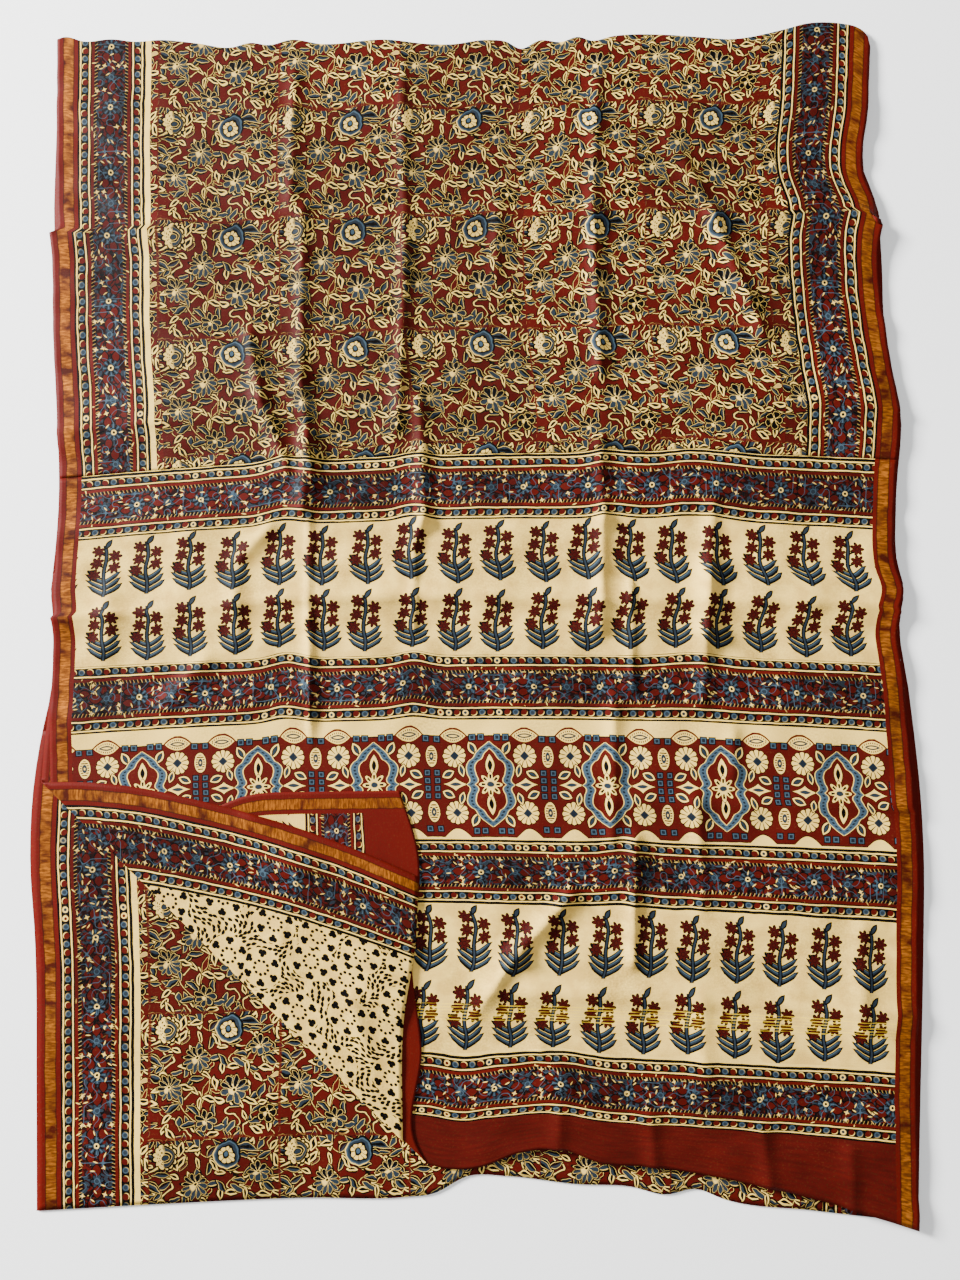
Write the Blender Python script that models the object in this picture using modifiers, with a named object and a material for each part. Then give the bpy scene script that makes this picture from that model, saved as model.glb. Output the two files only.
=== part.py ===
"""A block printed saree: one length of cloth, folded in half twice and laid flat.

The cloth runs back and forth in four layers, with its printed end panel on top. The lower
left corner of the two upper layers is turned over together along a slanting line.
Level 0 is the layer on the floor and level 3 is the layer with the end panel.
"""

import math

import bmesh
import bpy
import numpy as np
from mathutils import Vector

# The cloth, in metres
WIDTH = 1.155
LENGTH = 6.39
THICKNESS = 0.001
LAYER_PITCH = 0.0020

# Places of the cross folds, measured along the cloth from its end panel
TOP_OUTER = 1.616
BOTTOM = 3.214
TOP_INNER = 4.812

# Steps of the grid: packing creases stand a sixth of the top layer apart
CREASE_PANELS = 6
ROWS_PER_PANEL = 5
ROWS_PER_HIDDEN_LAYER = 13
COLUMNS = 30
BEND_STEPS = 4

# Radii of the bends, at the middle of the cloth's thickness
INNER_RADIUS = 0.5 * LAYER_PITCH
OUTER_RADIUS = 1.5 * LAYER_PITCH

# The cloth is a hair off the floor except at its four lowest corners
FLOOR_LIFT = 0.0001
PRESSED_REACH = 0.035

# Top layer: where lines across the cloth lie at its left edge, middle and right edge
TOP_LAYER_LINES = np.array([
    # along,  left,   middle, right
    (0.000, -0.720, -0.731, -0.810),
    (0.095, -0.669, -0.678, -0.713),
    (0.385, -0.412, -0.405, -0.432),
    (0.640, -0.184, -0.161, -0.180),
    (1.010, 0.167, 0.201, 0.193),
    (TOP_OUTER, 0.797, 0.794, 0.812),
])

# Side edges of the top layer and of the two lowest layers, which stand out past it here and there
SIDE_EDGES = np.array([
    # y,      left,   right,  lowest left, lowest right
    (-0.820, -0.552, 0.572, -0.572, 0.574),
    (-0.656, -0.557, 0.575, -0.578, 0.583),
    (-0.451, -0.564, 0.584, -0.587, 0.594),
    (-0.347, -0.568, 0.587, -0.597, 0.598),
    (-0.254, -0.571, 0.584, -0.596, 0.596),
    (-0.186, -0.573, 0.580, -0.588, 0.591),
    (-0.121, -0.572, 0.576, -0.576, 0.585),
    (-0.020, -0.571, 0.570, -0.577, 0.576),
    (0.014, -0.575, 0.578, -0.580, 0.581),
    (0.050, -0.573, 0.570, -0.578, 0.575),
    (0.139, -0.570, 0.571, -0.574, 0.576),
    (0.280, -0.578, 0.579, -0.582, 0.585),
    (0.335, -0.583, 0.571, -0.586, 0.572),
    (0.499, -0.588, 0.557, -0.591, 0.566),
    (0.564, -0.590, 0.559, -0.594, 0.561),
    (0.593, -0.590, 0.547, -0.594, 0.548),
    (0.711, -0.592, 0.552, -0.594, 0.553),
    (0.820, -0.596, 0.560, -0.597, 0.560),
])
# How much of that standing out each level has, from the floor up
STANDING_OUT = (1.0, 0.85, 0.5, 0.0)

# Free lower edges, across the cloth from its middle: the fold of the two lowest layers,
# the blouse end of the third and the wavy cut end of the top layer
BOTTOM_FOLD_LINE = np.array([
    # across, y
    (-0.590, -0.797),
    (-0.420, -0.788),
    (-0.230, -0.780),
    (-0.085, -0.775),
    (-0.010, -0.754),
    (0.060, -0.755),
    (0.200, -0.766),
    (0.260, -0.775),
    (0.440, -0.796),
    (0.590, -0.812),
])
BLOUSE_END_LINE = np.array([
    # across, y
    (-0.590, -0.746),
    (-0.480, -0.738),
    (-0.345, -0.717),
    (-0.200, -0.711),
    (0.110, -0.711),
    (0.320, -0.742),
    (0.590, -0.806),
])
CUT_END_LINE = np.array([
    # across, y
    (-0.580, -0.719),
    (-0.500, -0.740),
    (-0.330, -0.727),
    (-0.230, -0.735),
    (-0.110, -0.722),
    (-0.055, -0.741),
    (0.047, -0.722),
    (0.110, -0.722),
    (0.160, -0.735),
    (0.320, -0.754),
    (0.455, -0.784),
    (0.580, -0.820),
])
CUT_END_REACH = 0.120

# The top edge swells near its right corner, which is rounded
TOP_SWELL = 0.012
TOP_SWELL_AT = 0.475
TOP_SWELL_SPREAD = 0.090
CORNER_ROUND = 0.030

# The turned corner: its bend runs from the left edge down to the end panel
BEND_START = Vector((-0.571, -0.250))
BEND_END = Vector((-0.080, -0.719))
BLOUSE_DRAWN_IN = 0.115
BLOUSE_DRAWN_POWER = 1.9
END_DRAWN_IN = 0.008
END_KINK = 0.024
END_KINK_Y = -0.450
END_KINK_SPREAD = 0.050

# Soft ridges of the top layer: both ends, height and spread
RIDGES = np.array([
    # x0,     y0,     x1,     y1,    height, spread
    (-0.204, 0.170, -0.196, -0.180, 0.0045, 0.034),
    (-0.073, 0.170, -0.055, 0.000, 0.0040, 0.034),
    (0.177, 0.140, 0.213, -0.120, 0.0050, 0.036),
    (0.345, 0.070, 0.330, -0.060, 0.0065, 0.030),
    (0.440, -0.120, 0.400, -0.330, 0.0035, 0.045),
    (-0.300, 0.760, -0.290, 0.240, 0.0040, 0.040),
    (-0.160, 0.780, -0.150, 0.300, 0.0050, 0.042),
    (0.050, 0.780, 0.040, 0.260, 0.0045, 0.045),
    (0.230, 0.780, 0.220, 0.240, 0.0050, 0.042),
    (0.400, 0.760, 0.410, 0.300, 0.0040, 0.040),
    (0.120, -0.390, 0.060, -0.500, 0.0065, 0.034),
    (0.200, -0.380, 0.220, -0.560, 0.0040, 0.036),
    (0.360, -0.420, 0.340, -0.620, 0.0035, 0.040),
])

# Packing creases across the top layer, lowest first
CREASE_HEIGHTS = (0.0030, 0.0025, 0.0055, 0.0030, 0.0040)
CREASE_SPREAD = 0.022

# Ridges of the turned corner, on its upper layer
CORNER_RIDGES = np.array([
    # x0,     y0,     x1,     y1,    height, spread
    (-0.480, -0.290, -0.120, -0.380, 0.0040, 0.030),
    (-0.250, -0.360, -0.100, -0.520, 0.0045, 0.040),
])

# Where the top layer lies flat under the turned corner
FLAT_UNDER_X = 0.000
FLAT_UNDER_Y = -0.190
EASE = 0.060


def level_height(level):
    """Height of the middle of a flat layer above the floor."""
    return THICKNESS / 2 + level * LAYER_PITCH


def ease(value):
    """Smooth rise from 0 to 1 as the value goes from 0 to 1."""
    held = np.clip(value, 0.0, 1.0)
    return held * held * (3.0 - 2.0 * held)


def row_places():
    """Distances along the cloth of all rows of the grid."""
    reach_inner = INNER_RADIUS * math.pi / 2
    reach_outer = OUTER_RADIUS * math.pi / 2

    def layer(start, end, rows):
        return list(np.linspace(start, end, rows + 1))

    def bend(place, reach):
        return list(np.linspace(place - reach, place + reach, BEND_STEPS + 1)[1:-1])

    places = layer(0.0, TOP_OUTER - reach_outer, CREASE_PANELS * ROWS_PER_PANEL)
    places += bend(TOP_OUTER, reach_outer)
    places += layer(TOP_OUTER + reach_outer, BOTTOM - reach_inner, ROWS_PER_HIDDEN_LAYER)
    places += bend(BOTTOM, reach_inner)
    places += layer(BOTTOM + reach_inner, TOP_INNER - reach_inner, ROWS_PER_HIDDEN_LAYER)
    places += bend(TOP_INNER, reach_inner)
    places += layer(TOP_INNER + reach_inner, LENGTH, ROWS_PER_HIDDEN_LAYER)
    return np.array(places)


def levels_of(along):
    """Level of each point, from its place along the cloth."""
    level = np.full(along.shape, 3)
    level[along > TOP_OUTER] = 0
    level[along > BOTTOM] = 1
    level[along > TOP_INNER] = 2
    return level


def bowed_line(across, along):
    """Y of a line across the top layer: a parabola through its left edge, middle and right edge."""
    places = TOP_LAYER_LINES[:, 0]
    left, middle, right = (np.interp(along, places, TOP_LAYER_LINES[:, i]) for i in (1, 2, 3))
    side = 2 * across - 1
    return middle + (right - left) / 2 * side + ((right + left) / 2 - middle) * side ** 2


def top_corner(across):
    """How far the top edge rises past its bowed line: a swell, and a round corner at the right."""
    from_middle = (across - 0.5) * WIDTH
    swell = TOP_SWELL * np.exp(-((from_middle - TOP_SWELL_AT) / TOP_SWELL_SPREAD) ** 2)
    into_corner = np.clip(1 - (1 - across) * WIDTH / CORNER_ROUND, 0.0, 1.0)
    return swell - CORNER_ROUND * (1 - np.sqrt(1 - into_corner ** 2))


def top_line(across):
    """Y of the top edge."""
    return bowed_line(across, np.full(across.shape, TOP_OUTER)) + top_corner(across)


def top_layer_y(across, along):
    """Y on the top layer: bowed lines between the wavy cut end and the top edge's own shape."""
    cut_end = np.interp((across - 0.5) * WIDTH, CUT_END_LINE[:, 0], CUT_END_LINE[:, 1])
    wave = cut_end - bowed_line(across, np.zeros(across.shape))
    body_start = TOP_LAYER_LINES[-2, 0]
    near_top = ease((along - body_start) / (TOP_OUTER - body_start))
    return bowed_line(across, along) + wave * ease(1 - along / CUT_END_REACH) + near_top * top_corner(across)


def lay_out(across, along):
    """X and Y of each point with the corner not yet turned, from its place in the flat cloth."""
    level = levels_of(along)
    top = top_line(across) - OUTER_RADIUS
    from_middle = (across - 0.5) * WIDTH
    fold = np.interp(from_middle, BOTTOM_FOLD_LINE[:, 0], BOTTOM_FOLD_LINE[:, 1])
    blouse_end = np.interp(from_middle, BLOUSE_END_LINE[:, 0], BLOUSE_END_LINE[:, 1])
    reach_inner = INNER_RADIUS * math.pi / 2
    reach_outer = OUTER_RADIUS * math.pi / 2

    share = along / (TOP_OUTER - reach_outer)
    y = top_layer_y(across, share * TOP_OUTER) - share * OUTER_RADIUS
    spans = (
        (0, TOP_OUTER + reach_outer, BOTTOM - reach_inner, top, fold),
        (1, BOTTOM + reach_inner, TOP_INNER - reach_inner, fold, top),
        (2, TOP_INNER + reach_inner, LENGTH, top, blouse_end),
    )
    for span_level, start, end, y_start, y_end in spans:
        share = np.clip((along - start) / (end - start), 0.0, 1.0)
        y = np.where(level == span_level, y_start + share * (y_end - y_start), y)

    bends = ((TOP_OUTER, OUTER_RADIUS, top, 1), (BOTTOM, INNER_RADIUS, fold, -1), (TOP_INNER, INNER_RADIUS, top, 1))
    for place, radius, line, direction in bends:
        angle = (along - place) / radius
        inside = np.abs(angle) <= math.pi / 2 + 1e-6
        y = np.where(inside, line + direction * radius * np.cos(angle), y)

    edges = [np.interp(y, SIDE_EDGES[:, 0], SIDE_EDGES[:, i]) for i in (1, 2, 3, 4)]
    standing_out = np.array(STANDING_OUT)[level] * ease((top - y) / EASE)
    left = edges[0] + (edges[2] - edges[0]) * standing_out
    right = edges[1] + (edges[3] - edges[1]) * standing_out

    below_start = np.clip((BEND_START.y - y) / (BEND_START.y - BEND_END.y), 0.0, 1.2)
    drawn_in = np.where(level == 2, BLOUSE_DRAWN_IN * below_start ** BLOUSE_DRAWN_POWER, 0.0)
    kink = END_KINK * np.exp(-((y - END_KINK_Y) / END_KINK_SPREAD) ** 2)
    drawn_in += np.where(level == 3, END_DRAWN_IN * ease(4 * below_start) + kink, 0.0)
    x = left + drawn_in + across * (right - left - drawn_in)
    return x, y


def flat_height(along):
    """Height of each point before creases: flat layers, joined by half circles at the folds."""
    z = level_height(levels_of(along))
    middle = level_height(1.5)
    bends = (
        (TOP_OUTER, OUTER_RADIUS, middle, -1),
        (BOTTOM, INNER_RADIUS, level_height(0.5), 1),
        (TOP_INNER, INNER_RADIUS, middle, 1),
    )
    for place, radius, centre, direction in bends:
        angle = (along - place) / radius
        inside = np.abs(angle) <= math.pi / 2 + 1e-6
        z = np.where(inside, centre + direction * radius * np.sin(angle), z)
    return z


def floor_lift(x, y, along):
    """Rise of the whole cloth off the floor: a hair, and none at the lowest layer's four corners."""
    lift = np.full(x.shape, FLOOR_LIFT)
    starts = TOP_OUTER + OUTER_RADIUS * math.pi / 2, BOTTOM - INNER_RADIUS * math.pi / 2
    for place in starts:
        row = np.abs(along - place) < 1e-6
        for corner in (x[row].argmin(), x[row].argmax()):
            gap = np.hypot(x - x[row][corner], y - y[row][corner]) + np.abs(along - place)
            lift -= FLOOR_LIFT * ease(1 - gap / PRESSED_REACH)
    return lift


def ridge_sum(x, y, ridges):
    """Sum of soft ridges, each a bell across the line between its two ends."""
    total = np.zeros(x.shape)
    for x0, y0, x1, y1, height, spread in ridges:
        run = np.array((x1 - x0, y1 - y0))
        share = ((x - x0) * run[0] + (y - y0) * run[1]) / (run @ run)
        share = np.clip(share, 0.0, 1.0)
        gap = np.hypot(x - x0 - share * run[0], y - y0 - share * run[1])
        total += height * np.exp(-(gap / spread) ** 2)
    return total


def top_layer_lift(x, y, along):
    """Rise of the top layer above its flat place: ridges and packing creases, none near the folds."""
    lift = ridge_sum(x, y, RIDGES)
    for number, height in enumerate(CREASE_HEIGHTS, start=1):
        place = number * TOP_OUTER / CREASE_PANELS
        lift += height * np.exp(-((along - place) / CREASE_SPREAD) ** 2)
    covered = ease((FLAT_UNDER_X + EASE - x) / EASE) * ease((FLAT_UNDER_Y + EASE - y) / EASE)
    near_fold = ease((TOP_OUTER - along) / (2 * EASE))
    return lift * (1 - covered) * near_fold


def bend_directions():
    """Unit vectors along the bend of the turned corner and out of the cloth beyond it."""
    run = (BEND_END - BEND_START).normalized()
    return run, Vector((run.y, -run.x))


def turned_corner(x, y, z, level):
    """Turn the corner over: past the bend the two upper layers run round it and lie back."""
    _run, out = bend_directions()
    beyond = (x - BEND_START.x) * out.x + (y - BEND_START.y) * out.y
    centre = level_height(3.5)
    for turned_level, radius in ((3, INNER_RADIUS), (2, OUTER_RADIUS)):
        here = (level == turned_level) & (beyond > 0)
        foot_x = x - beyond * out.x
        foot_y = y - beyond * out.y
        angle = np.minimum(beyond / radius, math.pi)
        past = np.maximum(beyond - math.pi * radius, 0.0)
        shift = radius * np.sin(angle) - past
        x = np.where(here, foot_x + shift * out.x, x)
        y = np.where(here, foot_y + shift * out.y, y)
        z = np.where(here, centre - radius * np.cos(angle), z)
        if turned_level == 2:
            z = z + np.where(here, ridge_sum(x, y, CORNER_RIDGES) * ease(past / EASE), 0.0)
    return x, y, z


def cut_along_bend(sheet):
    """Cut rows of edges into the two upper layers where the corner bends."""
    _run, out = bend_directions()
    for level, radius in ((3, INNER_RADIUS), (2, OUTER_RADIUS)):
        for step in range(BEND_STEPS + 1):
            point = BEND_START + out * (math.pi * radius * step / BEND_STEPS)
            faces = [face for face in sheet.faces if level_of_face(face) == level]
            edges = {edge for face in faces for edge in face.edges}
            verts = {vert for face in faces for vert in face.verts}
            bmesh.ops.bisect_plane(
                sheet,
                geom=faces + list(edges) + list(verts),
                dist=0.0002,
                plane_co=(point.x, point.y, 0.0),
                plane_no=(out.x, out.y, 0.0),
            )


def level_of_face(face):
    """Level of a face of the laid out sheet, whose points hold their place along the cloth as Z."""
    places = np.array([vert.co.z for vert in face.verts])
    return int(levels_of(np.array([places.mean()]))[0])


def build_cloth(collection):
    """The whole cloth: a grid, laid out, cut along the bend, folded, and given its thickness."""
    rows = row_places()
    sheet = bmesh.new()
    bmesh.ops.create_grid(sheet, x_segments=COLUMNS, y_segments=len(rows) - 1, size=0.5)
    across = np.array([vert.co.x + 0.5 for vert in sheet.verts])
    share = np.array([vert.co.y + 0.5 for vert in sheet.verts])
    along = np.interp(share, np.linspace(0.0, 1.0, len(rows)), rows)
    x, y = lay_out(across, along)
    for vert, place in zip(sheet.verts, zip(x, y, along)):
        vert.co = place
    cut_along_bend(sheet)

    x, y, along = np.array([vert.co for vert in sheet.verts]).T
    level = levels_of(along)
    z = flat_height(along) + floor_lift(x, y, along)
    z += np.where(level == 3, top_layer_lift(x, y, along), 0.0)
    x, y, z = turned_corner(x, y, z, level)
    for vert, place in zip(sheet.verts, zip(x, y, z)):
        vert.co = place
    bmesh.ops.triangulate(sheet, faces=sheet.faces)

    mesh = bpy.data.meshes.new("saree_cloth")
    sheet.to_mesh(mesh)
    sheet.free()
    cloth = bpy.data.objects.new("saree_cloth", mesh)
    collection.objects.link(cloth)
    wall = cloth.modifiers.new("thickness", "SOLIDIFY")
    wall.thickness = THICKNESS
    wall.offset = 0.0
    wall.use_even_offset = True
    mesh.materials.append(printed_cloth())
    return cloth


def printed_cloth():
    """Cotton-silk dyed madder red, with a soft sheen."""
    material = bpy.data.materials.new("printed_cloth")
    material.use_nodes = True
    shader = material.node_tree.nodes["Principled BSDF"]
    shader.inputs["Base Color"].default_value = (0.235, 0.060, 0.030, 1.0)
    shader.inputs["Roughness"].default_value = 0.72
    shader.inputs["Metallic"].default_value = 0.0
    return material


def main():
    """Clear the scene and build the saree."""
    for item in list(bpy.data.objects):
        bpy.data.objects.remove(item, do_unlink=True)
    parts = bpy.data.collections.new("block_printed_saree")
    bpy.context.scene.collection.children.link(parts)
    build_cloth(parts)


if __name__ == "__main__":
    main()
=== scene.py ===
"""Looks of a block printed saree, folded in half twice and laid flat with a corner turned over."""

import math

import bmesh
import bpy
import numpy as np
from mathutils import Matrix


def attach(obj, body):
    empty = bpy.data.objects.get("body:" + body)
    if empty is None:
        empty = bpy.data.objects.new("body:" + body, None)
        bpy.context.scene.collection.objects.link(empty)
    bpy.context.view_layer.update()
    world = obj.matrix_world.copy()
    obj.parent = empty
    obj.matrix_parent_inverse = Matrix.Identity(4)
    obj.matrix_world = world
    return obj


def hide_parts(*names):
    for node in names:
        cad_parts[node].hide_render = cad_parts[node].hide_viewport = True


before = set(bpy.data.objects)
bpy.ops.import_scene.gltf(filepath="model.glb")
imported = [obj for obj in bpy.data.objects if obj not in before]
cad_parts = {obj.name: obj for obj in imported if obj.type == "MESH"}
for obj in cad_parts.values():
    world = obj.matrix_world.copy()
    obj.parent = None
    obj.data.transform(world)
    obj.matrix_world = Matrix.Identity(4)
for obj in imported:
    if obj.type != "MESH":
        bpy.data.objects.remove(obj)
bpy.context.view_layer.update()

bl_info = {
    "name": "Block printed saree",
    "version": (1, 0, 0),
    "blender": (4, 5, 0),
    "location": "View3D > Sidebar > Saree",
    "description": "A folded block printed saree with its prints, selvedges and folds",
    "category": "Add Mesh",
}

CLOTH_NODE = "saree_cloth"

# The whole cloth, in metres: levels count up from the floor
WIDTH = 1.155
LENGTH = 6.39
SOLID_THICKNESS = 0.001
LAYER_PITCH = 0.0020
INNER_RADIUS = 0.5 * LAYER_PITCH
OUTER_RADIUS = 1.5 * LAYER_PITCH

# Cross folds, measured along the cloth from its end panel
TOP_OUTER = 1.616
BOTTOM = 3.214
TOP_INNER = 4.812
FOLDS = (
    # along, radius, level of its middle, upwards or down, at the top edge or the bottom
    (TOP_OUTER, OUTER_RADIUS, 1.5, -1, 1),
    (BOTTOM, INNER_RADIUS, 0.5, 1, -1),
    (TOP_INNER, INNER_RADIUS, 1.5, 1, 1),
)
QUARTER_TURN = math.pi / 2 + 1e-6
CREASE_PANELS = 6

# Length of the second layer's stretch that shows where the corner is turned over
OPEN_LENGTH = 0.62

# Printed zones along the cloth, from its end panel
END_PANEL = 0.095
BAND_D = 0.195
PLANTS_LOWER = 0.383
BAND_C = 0.481
MEDALLIONS = 0.640
BAND_B = 0.733
PLANTS_UPPER = 0.913
BODY_START = 1.010
BLOUSE_START = 5.590

# Printed strips across the cloth, from either selvedge
SELVEDGE = 0.030
BORDER = 0.134
CLOSE_BORDER = 0.126

# Top layer: where lines across the cloth lie at its left edge, middle and right edge
TOP_LAYER_LINES = np.array([
    # along,      left,   middle, right
    (0.000, -0.720, -0.731, -0.810),
    (END_PANEL, -0.669, -0.678, -0.713),
    (BAND_D, -0.590, -0.593, -0.619),
    (PLANTS_LOWER, -0.412, -0.405, -0.432),
    (BAND_C, -0.327, -0.320, -0.337),
    (MEDALLIONS, -0.184, -0.161, -0.180),
    (BAND_B, -0.093, -0.074, -0.087),
    (PLANTS_UPPER, 0.078, 0.111, 0.094),
    (BODY_START, 0.167, 0.201, 0.193),
    (1.300, 0.466, 0.486, 0.491),
    (TOP_OUTER, 0.797, 0.794, 0.812),
])

# Side edges of the top layer and of the two lowest layers
SIDE_EDGES = np.array([
    # y,      left,   right,  lowest left, lowest right
    (-0.820, -0.552, 0.572, -0.572, 0.574),
    (-0.656, -0.557, 0.575, -0.578, 0.583),
    (-0.451, -0.564, 0.584, -0.587, 0.594),
    (-0.347, -0.568, 0.587, -0.597, 0.598),
    (-0.254, -0.571, 0.584, -0.596, 0.596),
    (-0.186, -0.573, 0.580, -0.588, 0.591),
    (-0.121, -0.572, 0.576, -0.576, 0.585),
    (-0.020, -0.571, 0.570, -0.577, 0.576),
    (0.014, -0.575, 0.580, -0.581, 0.583),
    (0.050, -0.573, 0.570, -0.578, 0.575),
    (0.139, -0.570, 0.571, -0.574, 0.576),
    (0.280, -0.578, 0.579, -0.582, 0.585),
    (0.335, -0.583, 0.571, -0.586, 0.572),
    (0.499, -0.588, 0.557, -0.591, 0.566),
    (0.564, -0.590, 0.559, -0.594, 0.561),
    (0.593, -0.590, 0.547, -0.594, 0.548),
    (0.711, -0.592, 0.552, -0.594, 0.553),
    (0.820, -0.596, 0.560, -0.597, 0.560),
])
STANDING_OUT = (1.0, 0.85, 0.5, 0.0)

# Free lower edges, across the cloth from its middle: the fold of the two lowest layers,
# the blouse end of the third and the wavy cut end of the top layer
BOTTOM_FOLD_LINE = np.array([
    # across, y
    (-0.590, -0.797),
    (-0.420, -0.788),
    (-0.230, -0.780),
    (-0.095, -0.779),
    (-0.060, -0.775),
    (-0.015, -0.753),
    (0.040, -0.753),
    (0.130, -0.763),
    (0.200, -0.766),
    (0.245, -0.776),
    (0.287, -0.769),
    (0.320, -0.781),
    (0.440, -0.796),
    (0.590, -0.812),
])
BLOUSE_END_LINE = np.array([
    # across, y
    (-0.590, -0.746),
    (-0.480, -0.738),
    (-0.345, -0.717),
    (-0.200, -0.711),
    (0.110, -0.711),
    (0.320, -0.742),
    (0.590, -0.806),
])
CUT_END_LINE = np.array([
    # across, y
    (-0.580, -0.719),
    (-0.500, -0.740),
    (-0.330, -0.727),
    (-0.230, -0.735),
    (-0.110, -0.722),
    (-0.070, -0.739),
    (-0.020, -0.742),
    (0.047, -0.723),
    (0.110, -0.722),
    (0.155, -0.735),
    (0.215, -0.739),
    (0.320, -0.754),
    (0.455, -0.784),
    (0.580, -0.820),
])
CUT_END_REACH = 0.120

# The top edge swells near its right corner, which is rounded
TOP_SWELL = 0.012
TOP_SWELL_AT = 0.475
TOP_SWELL_SPREAD = 0.090
CORNER_ROUND = 0.030

# The turned corner: its bend runs from the left edge down to the end panel
BEND_START = np.array((-0.571, -0.250))
BEND_END = np.array((-0.080, -0.719))
BEND_STEPS = 4
BLOUSE_DRAWN_IN = 0.115
BLOUSE_DRAWN_POWER = 1.9
END_DRAWN_IN = 0.008
END_KINK = 0.024
END_KINK_Y = -0.450
END_KINK_SPREAD = 0.050
EASE = 0.060

# Ridges of the top layer: both ends, height, spread, and how sharp the crest is from 0 to 1
RIDGES = np.array([
    # x0,     y0,     x1,     y1,    height, spread, sharp
    (-0.256, 0.782, -0.259, 0.557, 0.0045, 0.014, 0.5),
    (-0.242, 0.547, -0.241, 0.307, 0.0050, 0.013, 0.6),
    (-0.241, 0.307, -0.223, 0.167, 0.0060, 0.013, 0.6),
    (-0.314, 0.370, -0.296, 0.278, 0.0055, 0.013, 0.5),
    (-0.296, 0.278, -0.259, 0.183, 0.0065, 0.013, 0.6),
    (-0.106, 0.770, -0.099, 0.492, 0.0040, 0.012, 0.6),
    (-0.099, 0.492, -0.108, 0.236, 0.0055, 0.013, 0.6),
    (0.030, 0.557, 0.027, 0.456, 0.0035, 0.012, 0.4),
    (0.172, 0.785, 0.161, 0.557, 0.0045, 0.013, 0.5),
    (0.161, 0.557, 0.170, 0.314, 0.0070, 0.013, 0.6),
    (0.274, 0.652, 0.329, 0.535, 0.0045, 0.014, 0.4),
    (0.329, 0.535, 0.395, 0.370, 0.0075, 0.014, 0.6),
    (-0.078, 0.278, -0.072, 0.111, 0.0060, 0.013, 0.5),
    (-0.072, 0.111, -0.085, 0.077, 0.0050, 0.010, 0.6),
    (-0.085, 0.077, -0.085, -0.042, 0.0035, 0.007, 0.9),
    (-0.232, 0.222, -0.236, 0.125, 0.0070, 0.014, 0.5),
    (-0.228, 0.111, -0.227, -0.026, 0.0040, 0.007, 0.9),
    (-0.227, -0.026, -0.221, -0.214, 0.0055, 0.008, 0.8),
    (0.169, 0.222, 0.172, 0.111, 0.0050, 0.012, 0.5),
    (0.171, 0.111, 0.167, -0.040, 0.0060, 0.012, 0.5),
    (0.208, 0.029, 0.209, -0.121, 0.0045, 0.007, 0.9),
    (0.322, 0.139, 0.315, 0.048, 0.0050, 0.013, 0.4),
    (0.315, 0.048, 0.310, -0.040, 0.0090, 0.014, 0.5),
    (0.310, -0.040, 0.303, -0.134, 0.0060, 0.014, 0.4),
    (-0.322, 0.056, -0.282, 0.100, 0.0045, 0.012, 0.4),
    (-0.327, 0.029, -0.323, -0.053, 0.0040, 0.014, 0.3),
    (-0.498, 0.022, -0.498, -0.060, 0.0035, 0.016, 0.2),
    (-0.416, -0.137, -0.367, -0.083, 0.0045, 0.016, 0.3),
    (-0.132, -0.228, -0.139, -0.314, 0.0060, 0.014, 0.4),
    (0.185, -0.134, 0.180, -0.320, 0.0040, 0.012, 0.4),
    (0.210, -0.320, 0.205, -0.477, 0.0075, 0.011, 0.6),
    (0.343, -0.181, 0.342, -0.234, 0.0040, 0.012, 0.3),
    (0.124, -0.392, 0.051, -0.470, 0.0075, 0.013, 0.5),
    (0.051, -0.470, -0.028, -0.580, 0.0070, 0.013, 0.5),
    (0.083, -0.592, 0.122, -0.633, 0.0040, 0.012, 0.4),
    (0.293, -0.268, 0.299, -0.405, 0.0035, 0.012, 0.3),
    (0.507, -0.438, 0.506, -0.580, 0.0030, 0.014, 0.2),
    (0.294, -0.528, 0.300, -0.656, 0.0030, 0.014, 0.2),
    (0.109, -0.668, 0.103, -0.741, 0.0025, 0.012, 0.3),
    (0.226, -0.675, 0.233, -0.759, 0.0028, 0.012, 0.3),
    (0.372, -0.694, 0.381, -0.781, 0.0028, 0.012, 0.3),
    (0.486, -0.719, 0.487, -0.796, 0.0025, 0.012, 0.3),
])
RIDGE_STRENGTH = 1.38
CREASE_JOGS = (0.000, 0.002, 0.003, 0.000, 0.006)
CREASE_JOG_REACH = 0.050
CREASE_HEIGHTS = (0.0045, 0.0035, 0.0080, 0.0045, 0.0055)
CREASE_SPREAD = 0.009
CREASE_WANDER = 0.003
SETTLED_LIFT = 0.0024
TOP_RIPPLES = (
    # height, length, seed
    (0.0013, 0.130, 11),
    (0.0008, 0.048, 12),
)

# Ridges of the turned corner, on its upper layer
CORNER_RIDGES = np.array([
    # x0,     y0,     x1,     y1,    height, spread, sharp
    (-0.480, -0.290, -0.120, -0.380, 0.0040, 0.030, 0.2),
    (-0.250, -0.360, -0.100, -0.520, 0.0045, 0.030, 0.2),
    (-0.300, -0.290, -0.220, -0.350, 0.0040, 0.016, 0.4),
    (-0.210, -0.420, -0.095, -0.440, 0.0035, 0.018, 0.3),
    (-0.310, -0.405, -0.305, -0.528, 0.0022, 0.008, 0.8),
    (-0.257, -0.415, -0.258, -0.479, 0.0020, 0.008, 0.8),
    (-0.164, -0.528, -0.137, -0.608, 0.0045, 0.014, 0.4),
    (-0.217, -0.515, -0.193, -0.544, 0.0035, 0.012, 0.4),
])

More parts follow.
